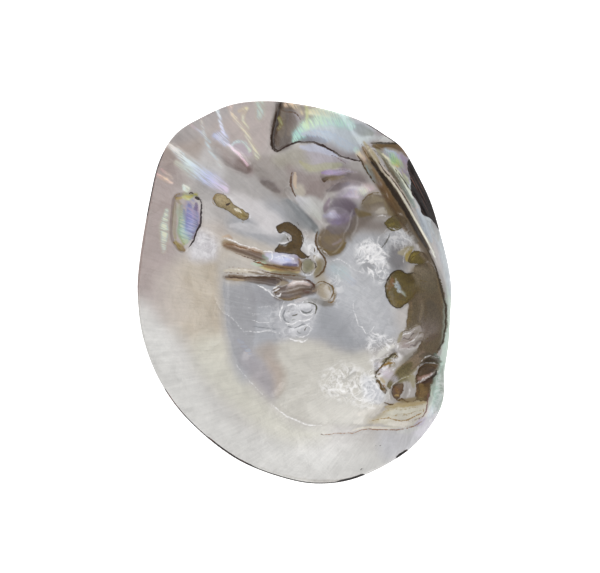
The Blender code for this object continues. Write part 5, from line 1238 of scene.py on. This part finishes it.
def inner_attributes(x, y):
    """All that the net carries on its pearly face."""
    found = paint(x, y)
    inward = margin_distance(x, y)
    lift = relief(x, y) * smoothstep(inward / RELIEF_FADE)
    lift += fine_relief(x, y, found) * smoothstep(inward / FINE_FADE)
    found["lift"] = lift - 0.5 * MARGIN_THICKNESS * (1.0 - lip(x, y))
    found["reach"] = reach_to_rim(x, y, crest_inset(x, y))
    found["outer"] = np.zeros(x.shape)
    return found


def outer_attributes(x, y):
    """All that the net carries on its outer face, where nothing is painted and the skin is whole."""
    inward = margin_distance(x, y)
    thickness = 0.5 * MARGIN_THICKNESS * (1.0 + lip(x, y))
    thickness += (WALL_THICKNESS - MARGIN_THICKNESS) * smoothstep(inward / THICKENING_WIDTH)
    from_beak = bearing_and_distance(x, y, BEAK)[1]
    swell = BEAK_SWELL * np.exp(-((from_beak / BEAK_SWELL_RADIUS) ** 2))
    swell *= smoothstep(inward / BEAK_SWELL_FADE)
    steps = np.zeros(x.shape)
    for rest in GROWTH_RESTS:
        past = (growth_share(x, y) - rest) / GROWTH_STEP_WIDTH
        steps += np.exp(-0.5 * past**2) * np.where(past > 0, 1.0, 0.8)
    unworn = smoothstep(bearing_and_distance(x, y, WORN_SPOT)[1] / WORN_RADIUS - WORN_CORE)
    steps *= GROWTH_STEP * unworn * smoothstep(inward / GROWTH_FADE)
    found = dict.fromkeys(("tint", "film_tint", "line_tint"), np.tile([0.5, 0.5, 0.5, 1.0], (len(x), 1)))
    found |= dict.fromkeys(("film", "film_edge", "line", "vein_highlight", "crumple_light_and_shade"), np.zeros(x.shape))
    return found | {
        "skin": np.ones(x.shape),
        "lustre_highlight": np.zeros((len(x), 4)),
        "lift": -thickness - swell - steps,
        "reach": reach_to_rim(x, y, 0.0),
        "outer": smoothstep(inward / GROWTH_LINE_FADE) * (0.4 + 0.6 * unworn),
    }


def flat_net():
    """The net of both faces, still flat, joined round the rim, with its attributes."""
    rim_count = len(even_loop(0.0))
    inner, inner_faces = sheet(hexagonal_points(INNER_SPACING), rim_count)
    outer, outer_faces = sheet(hexagonal_points(OUTER_SPACING), rim_count)
    shift = len(inner) - rim_count
    outer_faces = np.where(outer_faces < rim_count, outer_faces, outer_faces + shift)[:, ::-1]
    points = np.vstack([inner, outer[rim_count:]])
    faces = np.vstack([inner_faces, outer_faces])
    inside = inner_attributes(*inner.T)
    outside = outer_attributes(*outer[rim_count:].T)
    mesh = bpy.data.meshes.new("shell_valve")
    mesh.from_pydata(np.column_stack([points * MM, np.zeros(len(points))]), [], faces.tolist())
    x, y = points.T
    off_hinge = bearing_and_distance(x, y, DEEPEST)[0] - HINGE_BEARING
    values = {name: np.concatenate([inside[name], outside[name]]) for name in inside}
    values["hinge_side"] = (0.5 + 0.5 * np.cos(off_hinge)) ** HINGE_SIDE_FOCUS
    values["growth"] = growth_share(x, y) * 100.0
    # counted from the hinge side, so that the step from 360 back to 0 lies in the short way to the margin
    values["bearing"] = np.degrees(bearing_and_distance(x, y, BEAK)[0]) % 360.0
    for name, value in values.items():
        kind, field = ("FLOAT_COLOR", "color") if value.ndim == 2 else ("FLOAT", "value")
        layer = mesh.attributes.new(name, kind, "POINT")
        layer.data.foreach_set(field, value.astype(np.float32).ravel())
    return mesh


def add(tree, kind, inputs=(), output=0, **settings):
    """Adds a node with its settings, sets or links its inputs, and gives one of its outputs.
    An input given as a hex code is set as that colour."""
    made = tree.nodes.new(kind)
    for name, value in settings.items():
        setattr(made, name, value)
    for socket, value in inputs.items() if isinstance(inputs, dict) else enumerate(inputs):
        if isinstance(value, bpy.types.NodeSocket):
            tree.links.new(value, made.inputs[socket])
        elif isinstance(value, str) and value.startswith("#"):
            made.inputs[socket].default_value = (*linear(value), 1.0)
        else:
            made.inputs[socket].default_value = value
    return made.outputs[output] if len(made.outputs) else None


def growth_tree(nacre, skin):
    """Raises the flat net into a valve: the hollow's section is a power of the way to the rim, gentle
    towards the ventral margin and steep towards the hinge, and fine growth lines cover the outer face."""
    tree = bpy.data.node_groups.new("valve growth", "GeometryNodeTree")
    tree.interface.new_socket("Net", in_out="INPUT", socket_type="NodeSocketGeometry")
    for name in GROWTH_INPUTS:
        tree.interface.new_socket(name, in_out="INPUT", socket_type="NodeSocketFloat")
    tree.interface.new_socket("Valve", in_out="OUTPUT", socket_type="NodeSocketGeometry")
    given = add(tree, "NodeGroupInput").node.outputs
    reach, lift, hinge_side, growth, outer = (
        add(tree, "GeometryNodeInputNamedAttribute", {"Name": name}, data_type="FLOAT")
        for name in ("reach", "lift", "hinge_side", "growth", "outer")
    )

    # the plane that the margin lies in, then the hollow below it
    place = add(tree, "ShaderNodeSeparateXYZ", [add(tree, "GeometryNodeInputPosition")]).node.outputs
    tip_y = add(tree, "ShaderNodeMath", (place["Y"], given["Lie Slope Y"]), operation="MULTIPLY")
    tip = add(tree, "ShaderNodeMath", (place["X"], given["Lie Slope X"], tip_y), operation="MULTIPLY_ADD")
    plane = add(tree, "ShaderNodeMath", (tip, 1.0 / MM, given["Lie Height"]), operation="MULTIPLY_ADD")
    gentle = given["Gentle Power"]
    stiffer = add(tree, "ShaderNodeMath", (given["Steep Power"], gentle), operation="SUBTRACT")
    power = add(tree, "ShaderNodeMath", (hinge_side, stiffer, gentle), operation="MULTIPLY_ADD")
    curve = add(tree, "ShaderNodeMath", (reach, power), operation="POWER")
    section = add(tree, "ShaderNodeMath", (curve, 1.0), operation="SUBTRACT")
    base = add(tree, "ShaderNodeMath", (plane, lift), operation="ADD")
    form = add(tree, "ShaderNodeMath", (section, given["Hollow Depth"], base), operation="MULTIPLY_ADD")

    # growth lines on the outer face, and nothing below the table
    grown = (growth, given["Growth Lines"], given["Seed"])
    grown = add(tree, "ShaderNodeMath", grown, operation="MULTIPLY_ADD")
    lines = {"W": grown, "Scale": 1.0, "Detail": 3.0}
    lines = add(tree, "ShaderNodeTexNoise", lines, noise_dimensions="1D")
    uneven = add(tree, "ShaderNodeMath", (lines, 0.5), operation="SUBTRACT")
    ridge = add(tree, "ShaderNodeMath", (uneven, given["Growth Line Height"]), operation="MULTIPLY")
    raised = add(tree, "ShaderNodeMath", (ridge, outer, form), operation="MULTIPLY_ADD")
    height = add(tree, "ShaderNodeMath", (raised, 0.0), operation="MAXIMUM")
    metres = add(tree, "ShaderNodeMath", (height, MM), operation="MULTIPLY")
    offset = add(tree, "ShaderNodeCombineXYZ", {"Z": metres})
    moved = add(tree, "GeometryNodeSetPosition", {"Geometry": given["Net"], "Offset": offset})
    whole = add(tree, "GeometryNodeRealizeInstances", {"Geometry": moved})
    inside = add(tree, "GeometryNodeSetMaterial", {"Geometry": whole, "Material": nacre})
    is_outer = add(tree, "FunctionNodeCompare", (outer, 0.02), data_type="FLOAT", operation="GREATER_THAN")
    both = {"Geometry": inside, "Selection": is_outer, "Material": skin}
    both = add(tree, "GeometryNodeSetMaterial", both)
    add(tree, "NodeGroupOutput", {"Valve": both})
    return tree


def grow_valve(nacre, skin):
    """The finished valve as one plain mesh."""
    flat = bpy.data.objects.new("flat_net", flat_net())
    bpy.context.scene.collection.objects.link(flat)
    growth = flat.modifiers.new("growth", "NODES")
    growth.node_group = growth_tree(nacre, skin)
    for item in growth.node_group.interface.items_tree:
        if item.name in GROWTH_INPUTS:
            growth[item.identifier] = GROWTH_INPUTS[item.name]
    evaluated = flat.evaluated_get(bpy.context.evaluated_depsgraph_get())
    mesh = bpy.data.meshes.new_from_object(evaluated)
    bpy.data.objects.remove(flat)
    mesh.name = "pearly_valve"
    mesh.shade_smooth()
    valve = bpy.data.objects.new("pearly_valve", mesh)
    bpy.context.scene.collection.objects.link(valve)
    return valve


def material_start(name):
    """A new material with its tree, its shader and positions in millimetres."""
    material = bpy.data.materials.new(name)
    material.use_nodes = True
    tree = material.node_tree
    place = add(tree, "ShaderNodeTexCoord", output="Object")
    mm = add(tree, "ShaderNodeMapping", {"Vector": place, "Scale": (1 / MM, 1 / MM, 1 / MM)})
    return material, tree, tree.nodes["Principled BSDF"], mm


def polished_nacre():
    """Nacre, buffed: stacked aragonite sheets that give a soft, wavering gloss with fine growth lines in it,
    broken by brown horny films with ragged dark edges, raised veins with a painted highlight along them,
    crumpled foil with painted highlights and painted shade, and patches of painted rainbow sheen."""
    material, tree, shader, mm = material_start("polished nacre")
    amount = {
        name: add(tree, "ShaderNodeAttribute", output="Fac", attribute_name=name)
        for name in ("film", "film_edge", "line", "vein_highlight", "crumple_light_and_shade", "skin", "growth", "bearing")
    }
    colour = {
        name: add(tree, "ShaderNodeAttribute", output="Color", attribute_name=name)
        for name in ("tint", "film_tint", "line_tint", "lustre_highlight")
    }
    lay = {"output": 2, "data_type": "RGBA"}
    multiply = lay | {"blend_type": "MULTIPLY"}
    soft = {"interpolation_type": "SMOOTHSTEP"}
    noise = {}
    for name, (size, detail, roughness, distortion) in NACRE_NOISE.items():
        grain = {"Vector": mm, "Scale": 1.0 / size, "Detail": detail}
        grain |= {"Roughness": roughness, "Distortion": distortion}
        noise[name] = add(tree, "ShaderNodeTexNoise", grain)
    cloud, silk, grit, ragged, crease, foil = noise.values()

    # the clean nacre plays in clouds, in silk, and in fibres that fan out from the beak
    outward = add(tree, "ShaderNodeMath", (amount["growth"], 0.1), operation="MULTIPLY")
    across = add(tree, "ShaderNodeMath", (amount["bearing"], 1.5), operation="MULTIPLY")
    along = add(tree, "ShaderNodeCombineXYZ", (outward, across))
    fibres = {"Vector": along, "Scale": 1.0, "Detail": 5.0, "Distortion": 0.3}
    fibres = add(tree, "ShaderNodeTexNoise", fibres)
    play = add(tree, "ShaderNodeMath", (cloud, 0.45, 0.535), operation="MULTIPLY_ADD")
    play = add(tree, "ShaderNodeMath", (fibres, 0.3, play), operation="MULTIPLY_ADD")
    play = add(tree, "ShaderNodeMath", (silk, 0.18, play), operation="MULTIPLY_ADD")
    body = add(tree, "ShaderNodeMix", {0: 1.0, 6: colour["tint"], 7: play}, **multiply)

    # the films are speckled, redder in places, and dark where they end
    speckled = add(tree, "ShaderNodeMath", (grit, 1.2, 0.22), operation="MULTIPLY_ADD")
    film_body = add(tree, "ShaderNodeMix", {0: 1.0, 6: colour["film_tint"], 7: speckled}, **multiply)
    redder = add(tree, "ShaderNodeMapRange", (cloud, 0.5, 0.75, 0.0, 0.45), **soft)
    film_body = add(tree, "ShaderNodeMix", {0: redder, 6: film_body, 7: "#5e4634"}, **lay)
    film_torn = add(tree, "ShaderNodeMath", (ragged, 0.9, -0.45), operation="MULTIPLY_ADD")
    film_value = add(tree, "ShaderNodeMath", (amount["film"], film_torn), operation="ADD")
    film = add(tree, "ShaderNodeMapRange", (film_value, 0.42, 0.58), **soft)
    off_edge = add(tree, "ShaderNodeMath", (film_value, 0.56), operation="SUBTRACT")
    off_edge = add(tree, "ShaderNodeMath", [off_edge], operation="ABSOLUTE")
    at_edge = add(tree, "ShaderNodeMapRange", (off_edge, 0.08, 0.36, 1.0, 0.0), **soft)
    edge = add(tree, "ShaderNodeMath", (at_edge, amount["film_edge"]), operation="MULTIPLY")

    # the painted rainbow sheen lies in fine strips that fan out from the beak
    strips = {"Vector": along, "Scale": 1.7, "Detail": 3.0, "Distortion": 0.4}
    strips = add(tree, "ShaderNodeTexNoise", strips)
    strips = add(tree, "ShaderNodeMapRange", (strips, 0.36, 0.6, 0.4, 1.15), **soft)
    glow = add(tree, "ShaderNodeAttribute", output="Alpha", attribute_name="lustre_highlight")
    lustre_highlight = add(tree, "ShaderNodeMath", (glow, strips), operation="MULTIPLY", use_clamp=True)

    # crumpled foil: painted white highlights in broken patches and along wandering ridges, and painted shade
    # in the grey dips between them
    dip_shade = add(tree, "ShaderNodeMapRange", (crease, 0.33, 0.45, 0.5, 0.0), **soft)
    dip_shade = add(tree, "ShaderNodeMath", (dip_shade, amount["crumple_light_and_shade"]), operation="MULTIPLY")
    off_ridge = add(tree, "ShaderNodeMath", (crease, 0.5), operation="SUBTRACT")
    off_ridge = add(tree, "ShaderNodeMath", [off_ridge], operation="ABSOLUTE")
    ridges = add(tree, "ShaderNodeMapRange", (off_ridge, 0.0, 0.04, 0.7, 0.0), **soft)
    patches = add(tree, "ShaderNodeMapRange", (foil, 0.46, 0.62, 0.0, 1.0), **soft)
    painted_highlight = add(tree, "ShaderNodeMath", (ridges, patches), operation="MAXIMUM")
    painted_highlight = add(tree, "ShaderNodeMath", (painted_highlight, amount["crumple_light_and_shade"]), operation="MULTIPLY")

    # the veins' painted highlight and the cracks, both broken here and there
    torn = add(tree, "ShaderNodeMath", (ragged, 0.7, amount["vein_highlight"]), operation="MULTIPLY_ADD")
    vein_highlight = add(tree, "ShaderNodeMapRange", (torn, 0.7, 1.2, 0.0, 0.85), **soft)
    painted_highlight = add(tree, "ShaderNodeMath", (painted_highlight, vein_highlight), operation="MAXIMUM")
    broken = add(tree, "ShaderNodeMath", (ragged, 0.65, amount["line"]), operation="MULTIPLY_ADD")
    line = add(tree, "ShaderNodeMapRange", (broken, 0.76, 1.04), **soft)

    # bare outer skin: nearly black, flecked with red brown
    worn = add(tree, "ShaderNodeMath", (ragged, 0.5, amount["skin"]), operation="MULTIPLY_ADD")
    skin = add(tree, "ShaderNodeMapRange", (worn, 0.7, 0.84), **soft)
    onward = add(tree, "ShaderNodeMath", (amount["growth"], 0.7), operation="MULTIPLY")
    around = add(tree, "ShaderNodeMath", (amount["bearing"], 0.16), operation="MULTIPLY")
    scrape = add(tree, "ShaderNodeCombineXYZ", (onward, around))
    flecks = {"Vector": scrape, "Scale": 1.0, "Detail": 5.0, "Distortion": 0.6}
    flecks = add(tree, "ShaderNodeTexNoise", flecks)
    flecks = add(tree, "ShaderNodeMapRange", (flecks, 0.56, 0.72), **soft)
    skin_body = add(tree, "ShaderNodeMix", {0: flecks, 6: "#140a08", 7: "#6b4c40"}, **lay)

    # one finish over the other
    for share, finish in (
        (film, film_body),
        (edge, "#2b1d0c"),
        (lustre_highlight, colour["lustre_highlight"]),
        (dip_shade, "#8d8d90"),
        (painted_highlight, "#fbfafb"),
        (line, colour["line_tint"]),
        (skin, skin_body),
    ):
        body = add(tree, "ShaderNodeMix", {0: share, 6: body, 7: finish}, **lay)

    # horn is duller than nacre, and only the clean nacre has sheets thin enough to split light
    dull = add(tree, "ShaderNodeMath", (film, skin), operation="MAXIMUM")
    rough = add(tree, "ShaderNodeMath", (dull, 0.2, 0.3), operation="MULTIPLY_ADD")
    marked = add(tree, "ShaderNodeMath", (dull, line), operation="MAXIMUM")
    clean = add(tree, "ShaderNodeMath", (1.0, marked), operation="SUBTRACT")
    sheets = add(tree, "ShaderNodeMath", (clean, lustre_highlight), operation="MULTIPLY")
    sheets = add(tree, "ShaderNodeMath", (sheets, SHEET_NANOMETRES), operation="MULTIPLY")
    coat = add(tree, "ShaderNodeMath", (clean, 0.16), operation="MULTIPLY")
    low = add(tree, "ShaderNodeMath", (fibres, 0.3), operation="MULTIPLY")
    height = add(tree, "ShaderNodeMath", (cloud, 0.8, low), operation="MULTIPLY_ADD")
    rubbed = add(tree, "ShaderNodeMath", (grit, dull), operation="MULTIPLY")
    height = add(tree, "ShaderNodeMath", (rubbed, 0.9, height), operation="MULTIPLY_ADD")
    height = add(tree, "ShaderNodeMath", (crease, 0.6, height), operation="MULTIPLY_ADD")
    finished = {"Base Color": body, "Roughness": rough, "Coat Weight": coat, "Thin Film Thickness": sheets}
    finish_shader(tree, shader, height, finished)
    shader.inputs["IOR"].default_value = 1.53
    shader.inputs["Coat Roughness"].default_value = 0.08
    shader.inputs["Thin Film IOR"].default_value = 1.33
    return material


def worn_outer_skin():
    """The horny skin that grew over the shell: brown to black in bands along the growth lines, dull and
    slightly rough, rubbed through to pale chalky shell about the beak."""
    material, tree, shader, mm = material_start("worn outer skin")
    growth, bearing = (
        add(tree, "ShaderNodeAttribute", output="Fac", attribute_name=name) for name in ("growth", "bearing")
    )
    turn = add(tree, "ShaderNodeMath", [bearing], operation="RADIANS")
    ring = [add(tree, "ShaderNodeMath", [turn], operation=way) for way in ("COSINE", "SINE")]
    ring = [add(tree, "ShaderNodeMath", (side, 2.9), operation="MULTIPLY") for side in ring]
    along = add(tree, "ShaderNodeCombineXYZ", (growth, *ring))
    bands = {"Vector": along, "Scale": 0.35, "Detail": 5.0, "Roughness": 0.65}
    bands = add(tree, "ShaderNodeTexNoise", bands)

    # blotches 14 mm across, and 0.8 mm grit
    blotches = add(tree, "ShaderNodeTexNoise", {"Vector": mm, "Scale": 0.07, "Detail": 5.0})
    grit = add(tree, "ShaderNodeTexNoise", {"Vector": mm, "Scale": 1.2, "Detail": 4.0})
    skin = add(tree, "ShaderNodeValToRGB", {"Fac": bands})
    ramp = skin.node.color_ramp
    ramp.elements.new(0.5)
    for element, (position, code) in zip(ramp.elements, SKIN_BANDS):
        element.position = position
        element.color = (*linear(code), 1.0)

    # the beak is the oldest part, and the growing shell rubbed it bare
    age = add(tree, "ShaderNodeMath", (blotches, 60.0, growth), operation="MULTIPLY_ADD")
    bare = add(tree, "ShaderNodeMapRange", (age, 62.0, 48.0), interpolation_type="SMOOTHSTEP")
    chalk = {0: grit, 6: "#a79c8c", 7: "#d3ccc2"}
    chalk = add(tree, "ShaderNodeMix", chalk, 2, data_type="RGBA")
    body = add(tree, "ShaderNodeMix", {0: bare, 6: skin, 7: chalk}, 2, data_type="RGBA")
    rough = add(tree, "ShaderNodeMath", (bare, -0.1, 0.58), operation="MULTIPLY_ADD")
    height = add(tree, "ShaderNodeMath", (grit, 0.3, bands), operation="MULTIPLY_ADD")
    finish_shader(tree, shader, height, {"Base Color": body, "Roughness": rough})
    shader.inputs["IOR"].default_value = 1.5
    return material


def finish_shader(tree, shader, height, values):
    """Links what differs from place to place to the shader, with a slight roughness to the touch."""
    bump = add(tree, "ShaderNodeBump", {"Strength": 0.6, "Distance": 0.4 * MM, "Height": height})
    for socket, value in (values | {"Normal": bump}).items():
        tree.links.new(value, shader.inputs[socket])


def pale_table():
    """A smooth, pale light table that shows only a faint shadow."""
    material = bpy.data.materials.new("pale table")
    material.use_nodes = True
    shader = material.node_tree.nodes["Principled BSDF"]
    shader.inputs["Base Color"].default_value = (*linear("#fafafa"), 1.0)
    shader.inputs["Roughness"].default_value = 0.9
    shader.inputs["Emission Color"].default_value = (1.0, 1.0, 1.0, 1.0)
    shader.inputs["Emission Strength"].default_value = 0.9
    bpy.ops.mesh.primitive_plane_add(size=TABLE_SIZE, location=(0.0, 0.0, -TABLE_GAP))
    floor = bpy.context.object
    floor.name = "table_top"
    floor.data.materials.append(material)


def studio():
    """Even soft light from four sides, the strongest from the posterior side, and little from above."""
    scene = bpy.context.scene
    scene.world = bpy.data.worlds.new("studio")
    scene.world.use_nodes = True
    background = scene.world.node_tree.nodes["Background"]
    background.inputs["Color"].default_value = (1.0, 1.0, 1.0, 1.0)
    background.inputs["Strength"].default_value = SKY_STRENGTH
    for name, place, size, watts in SOFTBOXES:
        light = bpy.data.lights.new(name, "AREA")
        light.size = size
        light.energy = watts
        lamp = bpy.data.objects.new(name, light)
        lamp.location = place
        lamp.rotation_euler = (-Vector(place)).to_track_quat("-Z", "Y").to_euler()
        scene.collection.objects.link(lamp)
    scene.view_settings.view_transform = "Standard"


def camera_above():
    """Looks straight down, as the photo does, from far enough that nothing is foreshortened."""
    camera = bpy.data.cameras.new("camera")
    camera.sensor_width = SENSOR_WIDTH
    camera.lens = SENSOR_WIDTH * CAMERA_DISTANCE / SEEN_WIDTH
    view = bpy.data.objects.new("camera", camera)
    view.location = (SEEN_CENTRE[0] * MM, SEEN_CENTRE[1] * MM, CAMERA_DISTANCE + LIE_HEIGHT * MM)
    bpy.context.scene.collection.objects.link(view)
    bpy.context.scene.camera = view


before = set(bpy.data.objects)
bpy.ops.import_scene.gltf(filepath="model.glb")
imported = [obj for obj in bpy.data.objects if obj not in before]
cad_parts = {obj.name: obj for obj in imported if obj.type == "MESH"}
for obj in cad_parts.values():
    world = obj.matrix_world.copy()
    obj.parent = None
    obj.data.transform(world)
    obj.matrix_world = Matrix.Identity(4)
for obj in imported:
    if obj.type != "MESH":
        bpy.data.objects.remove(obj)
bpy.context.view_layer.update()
valve = grow_valve(polished_nacre(), worn_outer_skin())
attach(valve, "root")
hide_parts("shell_valve")
pale_table()
studio()
camera_above()
